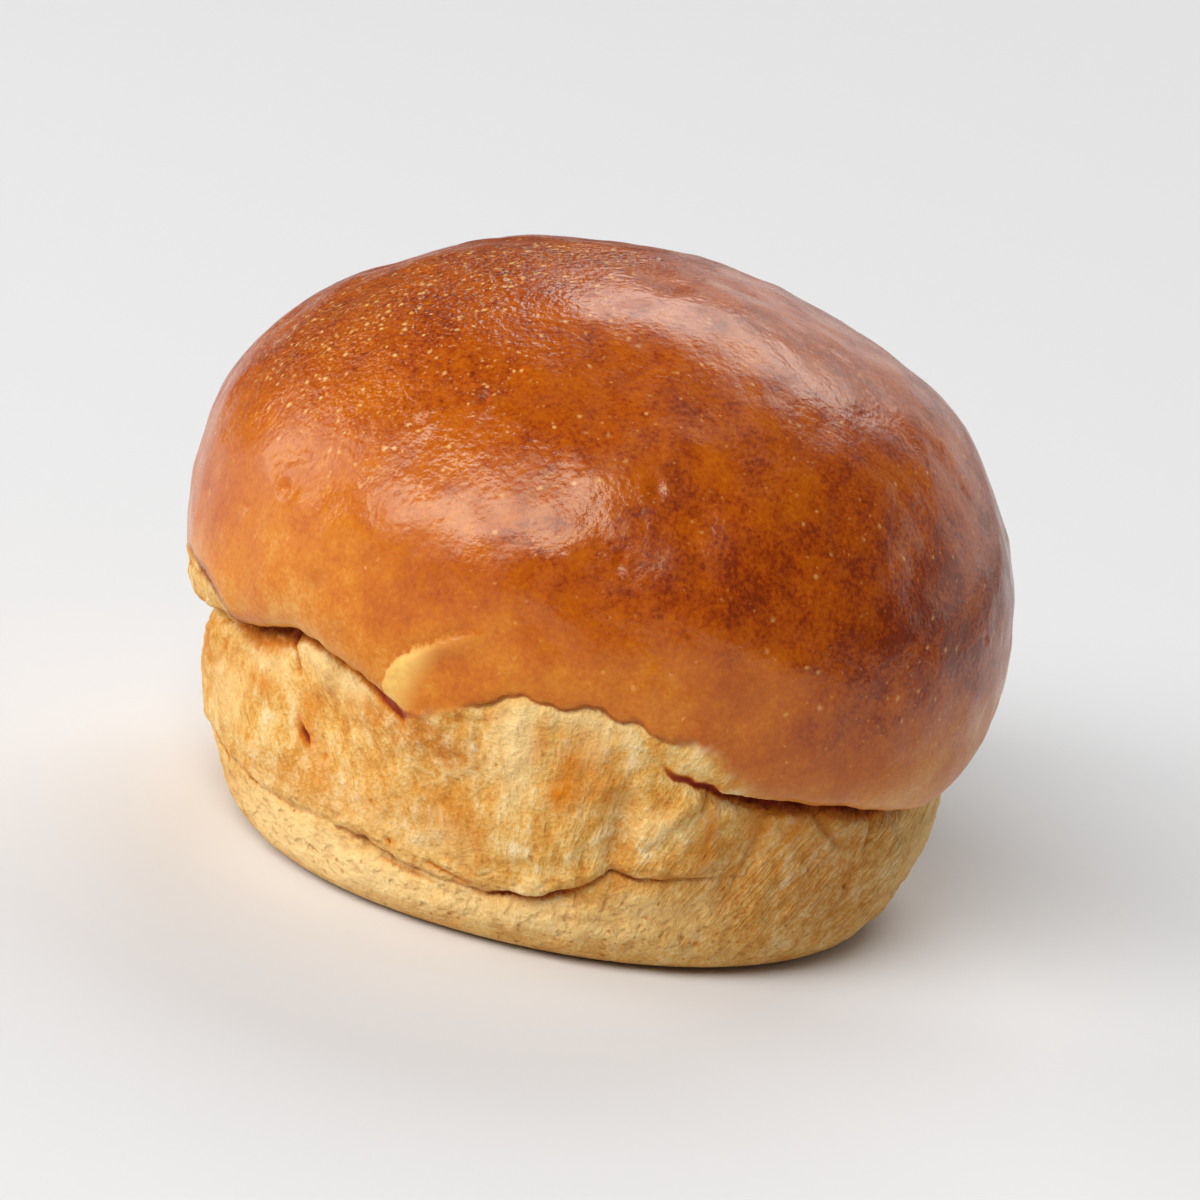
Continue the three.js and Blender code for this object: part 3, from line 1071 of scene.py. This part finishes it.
    def edge_line(self, bearing: np.ndarray) -> np.ndarray:
        """How dark the line along the crust's torn edge is, from 0 to 1: partly toasted edge, partly painted
        shade under the crust.
        """
        return 0.6 * self.front_line.share(bearing) + self.left_line.share(bearing)

    def edge_reach(self, bearing: np.ndarray) -> np.ndarray:
        """How wide that line is, in millimetres: thin at the front, and broad where the crust turns away."""
        return 0.42 + 0.75 * self.broad_line.share(bearing)

    def keep(self, piece: bpy.types.Object, name: str, values: np.ndarray) -> None:
        """Keeps one number a vertex on the mesh, under a name that the finish reads."""
        attribute = piece.data.attributes.new(name, "FLOAT", "POINT")
        attribute.data.foreach_set("value", values.astype(np.float32))

    def roughen(self, piece: bpy.types.Object) -> None:
        """Adds the uneven lumps of crumb and crust, by displace modifiers that are then applied.

        Args:
            piece: The sculpted roll, with its numbers on the mesh.
        """
        count = len(piece.data.vertices)
        crust = np.empty(count)
        piece.data.attributes["crust"].data.foreach_get("value", crust)
        places = np.empty(count * 3)
        piece.data.vertices.foreach_get("co", places)
        height = places[2::3] / MM
        on_crust = smooth(crust, -0.4, 0.6)
        on_crumb = (1 - on_crust) * smooth(height, 0.3, 3)
        self.displace(piece, self.crumb_lumps, on_crumb)
        self.displace(piece, self.crumb_grain, on_crumb)
        self.displace(piece, self.crust_waves, on_crust * smooth(crust, 0, 6))
        self.displace(piece, self.crust_ripples, on_crust * smooth(crust, 0, 3))

    def displace(self, piece: bpy.types.Object, lumps: Lumps, mask: np.ndarray) -> None:
        """Pushes the skin in and out by a cloud texture.

        Args:
            piece: The roll.
            lumps: The lumps' size and reach, and the name of the texture and of the vertex group.
            mask: Share of the push at each vertex.
        """
        group = piece.vertex_groups.new(name=lumps.name)
        weights = np.round(np.clip(mask, 0, 1), 2)
        for weight in np.unique(weights[weights > 0]):
            group.add(np.flatnonzero(weights == weight).tolist(), float(weight), "REPLACE")
        texture = bpy.data.textures.new(lumps.name, "CLOUDS")
        texture.noise_scale = lumps.grain * MM
        texture.noise_depth = 2
        modifier = piece.modifiers.new(lumps.name, "DISPLACE")
        modifier.texture = texture
        modifier.texture_coords = "LOCAL"
        modifier.vertex_group = lumps.name
        modifier.mid_level = 0.5
        modifier.strength = lumps.reach * MM
        bpy.ops.object.modifier_apply(modifier=lumps.name)
        piece.vertex_groups.remove(piece.vertex_groups[lumps.name])
        bpy.data.textures.remove(texture)


# The top edge of the thin flap of crumb that is drawn up over the crust at the front left: bearing and height
FLAP_TOP = ((-25.4, 26.2), (-25, 28.2), (-23, 30.4), (-18, 33.1), (-13, 35.3), (-8, 36.6))
FLAP_LEFT = -25.6


def flap_edge(bearing: np.ndarray, z: np.ndarray) -> np.ndarray:
    """Height above the flap's top edge, in millimetres."""
    return z - np.interp(bearing, [b for b, _ in FLAP_TOP], [height for _, height in FLAP_TOP])


def flap_colour(bearing: np.ndarray, z: np.ndarray) -> np.ndarray:
    """How much of the flap's yellow shows below its edge: most at its left end, fading to the right.

    Args:
        bearing: Bearing of each vertex.
        z: Its height.

    Returns:
        From 0 to 1 at each vertex.
    """
    right_of_edge = smooth(bearing, FLAP_LEFT, FLAP_LEFT + 0.5)
    strong = 1 - smooth(bearing + (29 - z) * 0.5, -23.6, -18)
    faint = 0.25 * (1 - smooth(bearing, -20, -9)) * bell(flap_edge(bearing, z) / 1.6)
    return right_of_edge * np.maximum(strong, faint) * smooth(z, 22, 25)


Socket = bpy.types.NodeSocket
Number = bpy.types.NodeSocket | float
Colour = tuple[float, float, float, float]
Stops = tuple[tuple[float, tuple[float, float, float]], ...]
Ramp = tuple[float, ...]


@dataclass(frozen=True)
class Grain:
    """Noise: the size of its lumps in millimetres, how many finer layers it holds and how rough it is."""

    size: float
    detail: float = 3.0
    rough: float = 0.6


@dataclass(frozen=True)
class Blistered:
    """A strength that grows where the crust is blistered: on smooth crust, and what full blisters add."""

    smooth: float
    added: float


@dataclass(frozen=True)
class Dots:
    """Round dots in some cells of a grid: the cells' size in millimetres, and the dots' radius in cells."""

    spacing: float
    least_radius: float
    radius_spread: float
    flat_middle: float
    warp: float = 0.5


@dataclass(frozen=True)
class Line:
    """A dark line on the skin, mostly painted shade: the mesh's numbers that place it and give its strength,
    and where it lies.
    """

    field: str
    strength: str
    centre: float
    waves: float = 0.7
    dark_core: float = 0.25


class Graph:
    """Adds the nodes of one material and joins them."""

    def __init__(self, tree: bpy.types.NodeTree) -> None:
        """Keeps the node tree that is filled, and adds the place on the skin in millimetres.

        Args:
            tree: The material's node tree.
        """
        self.tree = tree
        self.place = self.mapped(self.add("ShaderNodeTexCoord").outputs["Object"], (1 / MM,) * 3)

    def add(
        self, kind: str, inputs: dict[int | str, object] | None = None, **settings: object
    ) -> bpy.types.Node:
        """Adds a node.

        Args:
            kind: Blender's name of the node type.
            inputs: Values or other nodes' outputs, by the input's name or number.
            settings: The node's own settings.

        Returns:
            The node.
        """
        node = self.tree.nodes.new(kind)
        for name, value in settings.items():
            setattr(node, name, value)
        for name, value in (inputs or {}).items():
            if isinstance(value, bpy.types.NodeSocket):
                self.tree.links.new(value, node.inputs[name])
            else:
                node.inputs[name].default_value = value
        return node

    def attribute(self, name: str) -> Socket:
        """One of the mesh's numbers."""
        return self.add("ShaderNodeAttribute", attribute_name=name).outputs["Fac"]

    def mapped(self, place: Socket, scale: tuple[float, float, float]) -> Socket:
        """Coordinates scaled along X, Y and Z."""
        return self.add("ShaderNodeMapping", {"Vector": place, "Scale": scale}).outputs[0]

    def math(self, operation: str, first: Number, second: Number = 0.0, clamp: bool = False) -> Socket:
        """Arithmetic on two numbers."""
        node = self.add("ShaderNodeMath", {0: first, 1: second}, operation=operation, use_clamp=clamp)
        return node.outputs[0]

    def product(self, first: Number, second: Number, clamp: bool = False) -> Socket:
        """First times second, cut off at 0 and 1 if clamp is set."""
        return self.math("MULTIPLY", first, second, clamp)

    def sum(self, first: Number, second: Number, third: Number) -> Socket:
        """First times second, plus third."""
        node = self.add("ShaderNodeMath", {0: first, 1: second, 2: third}, operation="MULTIPLY_ADD")
        return node.outputs[0]

    def blend(self, share: Socket, low: Number, high: Number) -> Socket:
        """A number that goes from low to high with a share."""
        return self.sum(self.math("SUBTRACT", high, low), share, low)

    def noise(self, grain: Grain, place: Socket | None = None) -> Socket:
        """Noise of a grain, round 0.5."""
        where = self.place if place is None else place
        inputs = {"Vector": where, "Scale": 1 / grain.size, "Detail": grain.detail, "Roughness": grain.rough}
        return self.add("ShaderNodeTexNoise", inputs).outputs["Fac"]

    def uneven(self, grain: Grain, place: Socket | None = None) -> Socket:
        """Noise of a grain, round 0."""
        return self.math("SUBTRACT", self.noise(grain, place), 0.5)

    def ramp(
        self, value: Socket, low: Number, high: Number, low_out: Number = 0.0, high_out: Number = 1.0
    ) -> Socket:
        """A number moved from one range to another with soft ends."""
        inputs = {"Value": value, "From Min": low, "From Max": high, "To Min": low_out, "To Max": high_out}
        return self.add("ShaderNodeMapRange", inputs, interpolation_type="SMOOTHSTEP").outputs["Result"]

    def mix(self, share: Socket, first: Socket | Colour, second: Socket | Colour) -> Socket:
        """Blend of two colours."""
        node = self.add("ShaderNodeMix", {0: share, 6: first, 7: second}, data_type="RGBA")
        return node.outputs[2]

    def colours(self, value: Socket, stops: Stops) -> Socket:
        """Colour from a ramp.

        Args:
            value: The number that picks the colour.
            stops: The ramp's stops, each a position and a colour.

        Returns:
            The colour.
        """
        node = self.add("ShaderNodeValToRGB", {"Fac": value})
        elements = node.color_ramp.elements
        while len(elements) < len(stops):
            elements.new(0.5)
        for element, (position, colour) in zip(elements, stops):
            element.position = position
            element.color = (*colour, 1)
        return node.outputs["Color"]

    def blistered(self, strength: Blistered, blisters: Socket) -> Socket:
        """A strength by how blistered the crust is."""
        return self.sum(blisters, strength.added, strength.smooth)

    def dots(self, dots: Dots, density: Socket, uneven: Socket) -> Socket:
        """Small uneven dots, one in each chosen cell.

        Args:
            dots: Their sizes.
            density: Share of the cells that hold one.
            uneven: Noise that bends their outlines.

        Returns:
            1 in the middle of a dot and 0 beside it.
        """
        cells = self.add("ShaderNodeTexVoronoi", {"Vector": self.place, "Scale": 1 / dots.spacing})
        chance = self.add("ShaderNodeSeparateColor", {"Color": cells.outputs["Color"]})
        present = self.math("LESS_THAN", chance.outputs["Red"], density)
        radius = self.sum(chance.outputs["Green"], dots.radius_spread, dots.least_radius)
        gap = self.sum(uneven, dots.warp, cells.outputs["Distance"])
        return self.product(self.ramp(gap, radius, dots.flat_middle), present)

    def line(self, line: Line, reach: Number, uneven: Socket) -> Socket:
        """A dark line where one of the mesh's numbers passes a value.

        Args:
            line: Where it lies.
            reach: How far from there it fades out, in millimetres.
            uneven: Noise that it wanders by.

        Returns:
            How much of the line shows.
        """
        offset = self.math("SUBTRACT", self.attribute(line.field), line.centre)
        gap = self.math("ABSOLUTE", self.sum(uneven, line.waves, offset))
        core = self.product(reach, line.dark_core)
        return self.product(self.ramp(gap, reach, core), self.attribute(line.strength))


@dataclass(frozen=True)
class Crust:
    """The glazed crust: brown by how baked it is, mottled and specked, with blisters and a pebbly skin."""

    stops: Stops = (
        (0.0, (0.7, 0.4, 0.13)),
        (0.2, (0.66, 0.29, 0.05)),
        (0.4, (0.59, 0.178, 0.006)),
        (0.6, (0.5, 0.112, 0.001)),
        (0.8, (0.4, 0.07, 0.0005)),
        (0.92, (0.29, 0.038, 0.0005)),
        (1.0, (0.19, 0.02, 0.0005)),
    )
    char: Colour = (0.36, 0.06, 0.001, 1)
    char_share: float = 0.5
    flap: Colour = (0.88, 0.55, 0.14, 1)
    flap_edge: Ramp = (0.35, -0.45)
    flap_wander: float = 1.6
    flap_fray: float = 1.2
    flap_patches: float = 1.2
    flap_grain: float = 0.8
    flap_cover: float = 0.85
    speck: Colour = (0.92, 0.58, 0.2, 1)
    mottle: Grain = Grain(8.0, 2)
    mottle_share: float = 0.5
    patch: Grain = Grain(2.4, rough=0.65)
    patch_share: float = 0.48
    grit: Grain = Grain(0.5, rough=0.65)
    grit_share: Blistered = Blistered(0.55, 0.4)
    cluster: Grain = Grain(5.0, 1, 0.5)
    cluster_range: Ramp = (0.35, 0.65, 0.3, 1.3)
    large_dots: Dots = Dots(1.1, 0.23, 0.2, 0.03)
    large_density: Blistered = Blistered(0.03, 0.9)
    small_dots: Dots = Dots(0.6, 0.23, 0.2, 0.03)
    small_density: Blistered = Blistered(0.045, 0.7)
    small_strength: float = 0.6
    speck_share: Blistered = Blistered(0.35, 0.5)
    pebble: Grain = Grain(0.75, 2, 0.5)
    pebble_height: Blistered = Blistered(0.06, 0.55)
    ripple: Grain = Grain(1.8, 1, 0.5)
    ripple_height: float = 0.025

    def dress(self, g: Graph) -> tuple[Socket, Socket]:
        """Works out the crust.

        Args:
            g: The material's graph.

        Returns:
            Its colour, and its height in millimetres.
        """
        patch, grit, blisters = g.uneven(self.patch), g.uneven(self.grit), g.attribute("blisters")
        fine = g.sum(grit, g.blistered(self.grit_share, blisters), g.attribute("bake_shift"))
        baked = g.sum(g.uneven(self.mottle), self.mottle_share, g.sum(patch, self.patch_share, fine))
        colour = g.colours(baked, self.stops)
        colour = g.mix(g.product(g.attribute("flap"), self.torn_flap(g, patch, grit)), colour, self.flap)
        colour = g.mix(g.product(g.attribute("char"), self.char_share), colour, self.char)
        dots = self.specks(g, grit, blisters)
        shown = g.product(dots, g.blistered(self.speck_share, blisters), clamp=True)
        colour = g.mix(shown, colour, self.speck)
        dense = g.product(blisters, blisters)
        pebbled = g.product(g.uneven(self.pebble), g.blistered(self.pebble_height, dense))
        return colour, g.sum(g.uneven(self.ripple), self.ripple_height, pebbled)

    def torn_flap(self, g: Graph, patch: Socket, grit: Socket) -> Socket:
        """How much of the flap's colour shows below its ragged top edge.

        Args:
            g: The material's graph.
            patch: Noise of a few millimetres.
            grit: Noise of less than a millimetre.

        Returns:
            From 0 above the edge to about 1 on the flap.
        """
        edge = g.sum(patch, self.flap_wander, g.sum(grit, self.flap_fray, g.attribute("flap_gap")))
        worn = g.sum(patch, self.flap_patches, g.sum(grit, self.flap_grain, self.flap_cover))
        return g.product(g.ramp(edge, *self.flap_edge), worn, clamp=True)

    def specks(self, g: Graph, grit: Socket, blisters: Socket) -> Socket:
        """Small pale blisters of two sizes, in clusters.

        Args:
            g: The material's graph.
            grit: Noise that bends their outlines.
            blisters: How blistered the crust is.

        Returns:
            1 on the top of a large blister, less on a small one and 0 beside them.
        """
        cluster = g.ramp(g.noise(self.cluster), *self.cluster_range)
        large_density = g.product(g.blistered(self.large_density, blisters), cluster)
        small_density = g.product(g.blistered(self.small_density, blisters), cluster)
        large = g.dots(self.large_dots, large_density, grit)
        small = g.dots(self.small_dots, small_density, grit)
        return g.math("MAXIMUM", large, g.product(small, self.small_strength))


@dataclass(frozen=True)
class Crumb:
    """The dry pale crumb: clouded and stained, with torn fibres, and pores and a dimpled foot that are
    darkened with painted shade.
    """

    stops: Stops = (
        (0.18, (0.55, 0.185, 0.022)),
        (0.36, (0.66, 0.3, 0.05)),
        (0.5, (0.74, 0.4, 0.095)),
        (0.68, (0.83, 0.555, 0.21)),
        (0.86, (0.9, 0.69, 0.37)),
    )
    middle: float = 0.54
    cream: Colour = (0.9, 0.64, 0.29, 1)
    cream_share: float = 0.75
    tan: Colour = (0.51, 0.165, 0.012, 1)
    tan_range: Ramp = (0.35, -0.25, 0.45, 0.95)
    gold: Colour = (0.64, 0.19, 0.002, 1)
    gold_range: Ramp = (-0.2, 0.1, 0.55, 1.0)
    base: Colour = (0.6, 0.32, 0.09, 1)
    base_share: float = 0.6
    # Colour of the painted shade in the pores and the dimples.
    pore_shade: Colour = (0.42, 0.12, 0.01, 1)
    pore_share: float = 0.75
    cloud: Grain = Grain(6.0, 2)
    cloud_share: float = 0.75
    patch: Grain = Grain(1.7, 2)
    patch_share: float = 0.6
    patch_height: float = 0.26
    grain: Grain = Grain(0.45, rough=0.65)
    grain_share: float = 0.7
    grain_height: float = 0.27
    streak: Grain = Grain(1.8, 2)
    streak_stretch: tuple[float, float, float] = (1, 1, 0.3)
    streak_share: float = 0.75
    streak_height: float = 0.3
    upright_range: Ramp = (7.0, 14.0, 0.2, 1.0)
    fibre: Grain = Grain(0.55, 2)
    fibre_share: float = 0.45
    fibre_share_in_wrinkles: float = 1.1
    fibre_height: float = 0.65
    pores: Dots = Dots(0.9, 0.21, 0.26, 0.02)
    pore_density: float = 0.02
    pore_density_at_foot: float = 0.85
    dimple: Grain = Grain(1.3, 1, 0.5)
    dimple_range: Ramp = (0.46, 0.76)
    dimple_at_foot: Ramp = (0.9, 0.2)
    dimple_share: float = 0.22
    dimple_height: float = -0.23

    def dress(self, g: Graph) -> tuple[Socket, Socket]:
        """Works out the crumb.

        Args:
            g: The material's graph.

        Returns:
            Its colour, and its height in millimetres.
        """
        patch, grain = g.uneven(self.patch), g.uneven(self.grain)
        above_floor = g.add("ShaderNodeSeparateXYZ", {"Vector": g.place}).outputs["Z"]
        upright = g.ramp(above_floor, *self.upright_range)
        streak = g.product(g.uneven(self.streak, g.mapped(g.place, self.streak_stretch)), upright)
        strand = g.add("ShaderNodeAttribute", attribute_name="strand").outputs["Vector"]
        plain_fibre = g.product(upright, self.fibre_share)
        torn = g.sum(g.attribute("wrinkled"), self.fibre_share_in_wrinkles, plain_fibre)
        fibre = g.product(g.uneven(self.fibre, strand), torn)
        value = g.sum(streak, self.streak_share, g.sum(grain, self.grain_share, self.middle))
        value = g.sum(g.uneven(self.cloud), self.cloud_share, g.sum(patch, self.patch_share, value))
        colour = self.stained(g, g.colours(g.math("ADD", value, fibre), self.stops), patch, grain)
        density = g.sum(g.attribute("pores"), self.pore_density_at_foot, self.pore_density)
        # Pores and dimples are darkened with painted shade.
        hole = g.dots(self.pores, density, grain)
        colour = g.mix(g.product(hole, self.pore_share), colour, self.pore_shade)
        at_foot = g.ramp(upright, *self.dimple_at_foot)
        dimple = g.product(g.ramp(g.noise(self.dimple), *self.dimple_range), at_foot)
        colour = g.mix(g.product(dimple, self.dimple_share), colour, self.pore_shade)
        height = g.sum(patch, self.patch_height, g.product(grain, self.grain_height))
        height = g.sum(fibre, self.fibre_height, g.sum(streak, self.streak_height, height))
        return colour, g.sum(dimple, self.dimple_height, height)

    def stained(self, g: Graph, colour: Socket, patch: Socket, grain: Socket) -> Socket:
        """The crumb's colour with the stains that are kept on the mesh.

        Args:
            g: The material's graph.
            colour: The clean crumb.
            patch: Noise of a few millimetres.
            grain: Noise of less than a millimetre.

        Returns:
            The stained colour.
        """
        colour = g.mix(g.product(g.attribute("cream"), self.cream_share), colour, self.cream)
        tan = g.product(g.attribute("tan"), g.ramp(g.math("ADD", patch, grain), *self.tan_range))
        gold = g.product(g.attribute("gold"), g.ramp(patch, *self.gold_range))
        colour = g.mix(gold, g.mix(tan, colour, self.tan), self.gold)
        return g.mix(g.product(g.attribute("underside"), self.base_share), colour, self.base)


@dataclass(frozen=True)
class Seams:
    """Painted shade in the crease, in the fold and along the crust's torn edge: a brown fringe that is partly
    baked brown, the dark within, and dark lines.
    """

    # The colours below paint shade: a brown fringe (partly baked brown) and the dark in the crease and the
    # fold, and the line along the crust's torn edge, which is partly toasted edge and partly painted shade.
    scorch_and_shade: Colour = (0.6, 0.18, 0.006, 1)
    painted_shade: Colour = (0.25, 0.018, 0.0003, 1)
    toasted_edge_and_shade: Colour = (0.33, 0.06, 0.001, 1)
    ragged: Grain = Grain(0.8, 2, 0.65)
    ragged_share: float = 0.55
    present_range: Ramp = (0.02, 0.2)
    scorch_and_shade_range: Ramp = (0.05, 0.5)
    painted_shade_range: Ramp = (0.35, 0.9)
    edge: Line = Line("crust", "edge_line", -0.15)
    crease: Line = Line("crease_gap", "crease_line", -0.15)
    crease_reach: float = 0.5
    fold: Line = Line("fold_gap", "fold_line", 0.0)
    fold_reach: float = 0.36
    broken: Grain = Grain(3.0, 1, 0.5)
    broken_range: Ramp = (0.38, 0.55, 0.25, 1.0)

    def darken(self, g: Graph, mask: Socket, colour: Socket) -> Socket:
        """Darkens the roll's colour with painted shade.

        Args:
            g: The material's graph.
            mask: 1 on the crust and 0 on the crumb.
            colour: The colour of crust and crumb.

        Returns:
            The colour, brown at the edge of the crease (partly baked brown, partly painted shade) and dark
            with painted shade within it.
        """
        ragged, depth = g.uneven(self.ragged), g.attribute("painted_shade")
        deep = g.sum(ragged, self.ragged_share, depth)
        present = g.ramp(depth, *self.present_range)
        on_crumb = g.product(present, g.math("SUBTRACT", 1.0, mask))
        colour = g.mix(g.product(g.ramp(deep, *self.scorch_and_shade_range), on_crumb), colour, self.scorch_and_shade)
        colour = g.mix(g.product(g.ramp(deep, *self.painted_shade_range), present), colour, self.painted_shade)
        colour = g.mix(g.line(self.edge, g.attribute("edge_reach"), ragged), colour, self.toasted_edge_and_shade)
        colour = g.mix(g.line(self.crease, self.crease_reach, ragged), colour, self.painted_shade)
        broken = g.ramp(g.noise(self.broken), *self.broken_range)
        fold = g.product(g.line(self.fold, self.fold_reach, ragged), broken)
        return g.mix(fold, colour, self.painted_shade)


@dataclass(frozen=True)
class BakedFinish:
    """Glazed crust over dry crumb, by how far a place lies above the crust's edge and how baked it is."""

    name: str = "baked_roll"
    crust: Crust = Crust()
    crumb: Crumb = Crumb()
    seams: Seams = Seams()
    torn: Grain = Grain(0.9, 2)
    torn_reach: float = 1.2
    torn_rise: float = 0.3
    crumb_roughness: float = 0.95
    crust_roughness: float = 0.5
    glaze_roughness: float = 0.21
    wear: Grain = Grain(4.0, 1, 0.5)
    wear_range: Ramp = (0.35, 0.7)
    wear_roughness: float = 0.1
    glazed_range: Ramp = (0.15, 0.5)
    sheen_tint: Colour = (1.0, 0.97, 0.76, 1)

    def make(self) -> bpy.types.Material:
        """Builds the material.

        Returns:
            The material, which reads the numbers that the roll keeps on its mesh.
        """
        material = bpy.data.materials.new(self.name)
        material.use_nodes = True
        g = Graph(material.node_tree)
        shader = material.node_tree.nodes["Principled BSDF"]
        mask = self.crust_mask(g)
        crust_colour, crust_height = self.crust.dress(g)
        crumb_colour, crumb_height = self.crumb.dress(g)
        # Painted shade darkens the crease, the fold and the crumb under the crust's torn edge.
        colour = self.seams.darken(g, mask, g.mix(mask, crumb_colour, crust_colour))
        crust_part = g.product(crust_height, mask)
        crumb_part = g.product(crumb_height, g.math("SUBTRACT", 1.0, mask))
        height = g.math("ADD", crust_part, crumb_part)
        bump = g.add("ShaderNodeBump", {"Height": height, "Strength": 1.0, "Distance": MM})
        g.tree.links.new(colour, shader.inputs["Base Color"])
        g.tree.links.new(self.roughness(g, mask), shader.inputs["Roughness"])
        g.tree.links.new(bump.outputs["Normal"], shader.inputs["Normal"])
        shader.inputs["Specular Tint"].default_value = self.sheen_tint
        return material

    def crust_mask(self, g: Graph) -> Socket:
        """Where the crust is, with a finely torn edge.

        Args:
            g: The material's graph.

        Returns:
            1 on the crust and 0 on the crumb.
        """
        level = g.sum(g.uneven(self.torn), self.torn_reach, g.attribute("crust"))
        softness = g.attribute("softness")
        return g.ramp(g.math("ADD", level, self.torn_rise), g.product(softness, -1.0), softness)

    def roughness(self, g: Graph, mask: Socket) -> Socket:
        """How rough the skin is: glazed where the crust is well baked, and dull on the crumb.

        Args:
            g: The material's graph.
            mask: 1 on the crust and 0 on the crumb.

        Returns:
            The roughness.
        """
        worn = self.glaze_roughness + self.wear_roughness
        glaze = g.ramp(g.noise(self.wear), *self.wear_range, self.glaze_roughness, worn)
        glazed = g.ramp(g.attribute("bake_shift"), *self.glazed_range)
        return g.blend(mask, self.crumb_roughness, g.blend(glazed, self.crust_roughness, glaze))


@dataclass(frozen=True)
class Softbox:
    """A rectangular lamp that faces the roll, given by where it stands as seen from the roll."""

    name: str
    bearing: float
    elevation: float
    width: float
    height: float
    radiance: float
    colour: tuple[float, float, float] = (1, 1, 1)
    spin: float = 0.0


@dataclass(frozen=True)
class Studio:
    """The pale floor, the soft light and the camera."""

    target: tuple[float, float, float] = (0.5, 0, 28.5)
    distance: float = 420.0
    elevation: float = 16.0
    picture_roll: float = 12.0
    focal_share: float = 3.19
    sensor: float = 36.0
    near_clip: float = 0.01
    floor_size: float = 14.0
    floor_colour: Colour = (0.8, 0.8, 0.8, 1)
    floor_roughness: float = 0.9
    world_strength: float = 0.09
    lamp_distance: float = 2.6
    softboxes: tuple[Softbox, ...] = (
        Softbox("key_window", -37, 39, 62, 24, 7.4, spin=38),
        Softbox("left_window", -96, 16, 28, 30, 3.2),
        Softbox("top_bank", 168, 46, 38, 24, 3.7),
        Softbox("rear_bank", 140, 16, 76, 24, 0.9),
        Softbox("ceiling_strip", 98, 77, 5, 22, 2.6),
    )

    def build(self) -> None:
        """Makes all of it."""
        self.floor()
        for box in self.softboxes:
            self.lamp(box)
        self.sky()
        self.camera()

    def floor(self) -> None:
        """Lays the floor at the level that the roll rests on."""
        bpy.ops.object.select_all(action="DESELECT")
        bpy.ops.mesh.primitive_plane_add(size=self.floor_size, location=(0, 0, 0))
        floor = bpy.context.object
        floor.name = "pale_floor"
        material = bpy.data.materials.new("pale_floor")
        material.use_nodes = True
        shader = material.node_tree.nodes["Principled BSDF"]
        shader.inputs["Base Color"].default_value = self.floor_colour
        shader.inputs["Roughness"].default_value = self.floor_roughness
        floor.data.materials.append(material)

    def lamp(self, box: Softbox) -> None:
        """Adds one softbox.

        Args:
            box: Its place, size and light.
        """
        bearing, elevation = math.radians(box.bearing), math.radians(box.elevation)
        level = math.cos(elevation)
        away = Vector((math.sin(bearing) * level, -math.cos(bearing) * level, math.sin(elevation)))
        data = bpy.data.lights.new(box.name, "AREA")
        data.shape = "RECTANGLE"
        data.size = 2 * self.lamp_distance * math.tan(math.radians(box.width / 2))
        data.size_y = 2 * self.lamp_distance * math.tan(math.radians(box.height / 2))
        data.energy = box.radiance * math.pi * data.size * data.size_y
        data.color = box.colour
        lamp = bpy.data.objects.new(box.name, data)
        lamp.location = Vector(self.target) * MM + away * self.lamp_distance
        turn = away.to_track_quat("Z", "Y").to_matrix().to_4x4()
        lamp.rotation_euler = (turn @ Matrix.Rotation(math.radians(box.spin), 4, "Z")).to_euler()
        bpy.context.scene.collection.objects.link(lamp)

    def sky(self) -> None:
        """Sets the even light from all round."""
        world = bpy.data.worlds.new("studio")
        world.use_nodes = True
        background = world.node_tree.nodes["Background"]
        background.inputs["Color"].default_value = (1, 1, 1, 1)
        background.inputs["Strength"].default_value = self.world_strength
        bpy.context.scene.world = world
        bpy.context.scene.view_settings.view_transform = "Standard"

    def camera(self) -> None:
        """Places the camera at the photograph's viewing angle, with its turned picture."""
        elevation = math.radians(self.elevation)
        data = bpy.data.cameras.new("camera")
        data.sensor_width = self.sensor
        data.lens = self.focal_share * self.sensor
        data.clip_start = self.near_clip
        camera = bpy.data.objects.new("camera", data)
        away = Vector((0, -math.cos(elevation), math.sin(elevation)))
        camera.location = (Vector(self.target) + away * self.distance) * MM
        tilt = Matrix.Rotation(math.pi / 2 - elevation, 4, "X")
        camera.rotation_euler = (tilt @ Matrix.Rotation(math.radians(self.picture_roll), 4, "Z")).to_euler()
        bpy.context.scene.collection.objects.link(camera)
        bpy.context.scene.camera = camera


def main() -> None:
    """Builds the studio and the roll, and reports the piece."""
    logging.basicConfig(level=logging.INFO, format="%(name)s: %(message)s")
    Studio().build()
    roll = BreadRoll().build()
    roll.data.materials.clear()
    roll.data.materials.append(BakedFinish().make())
    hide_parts(ROLL_NODE)
    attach(roll, "root")
    roll.data.calc_loop_triangles()
    log.info("%s: %d triangles, %s mm", roll.name, len(roll.data.loop_triangles), tuple(roll.dimensions / MM))
    bpy.context.view_layer.update()


if __name__ == "__main__":
    main()
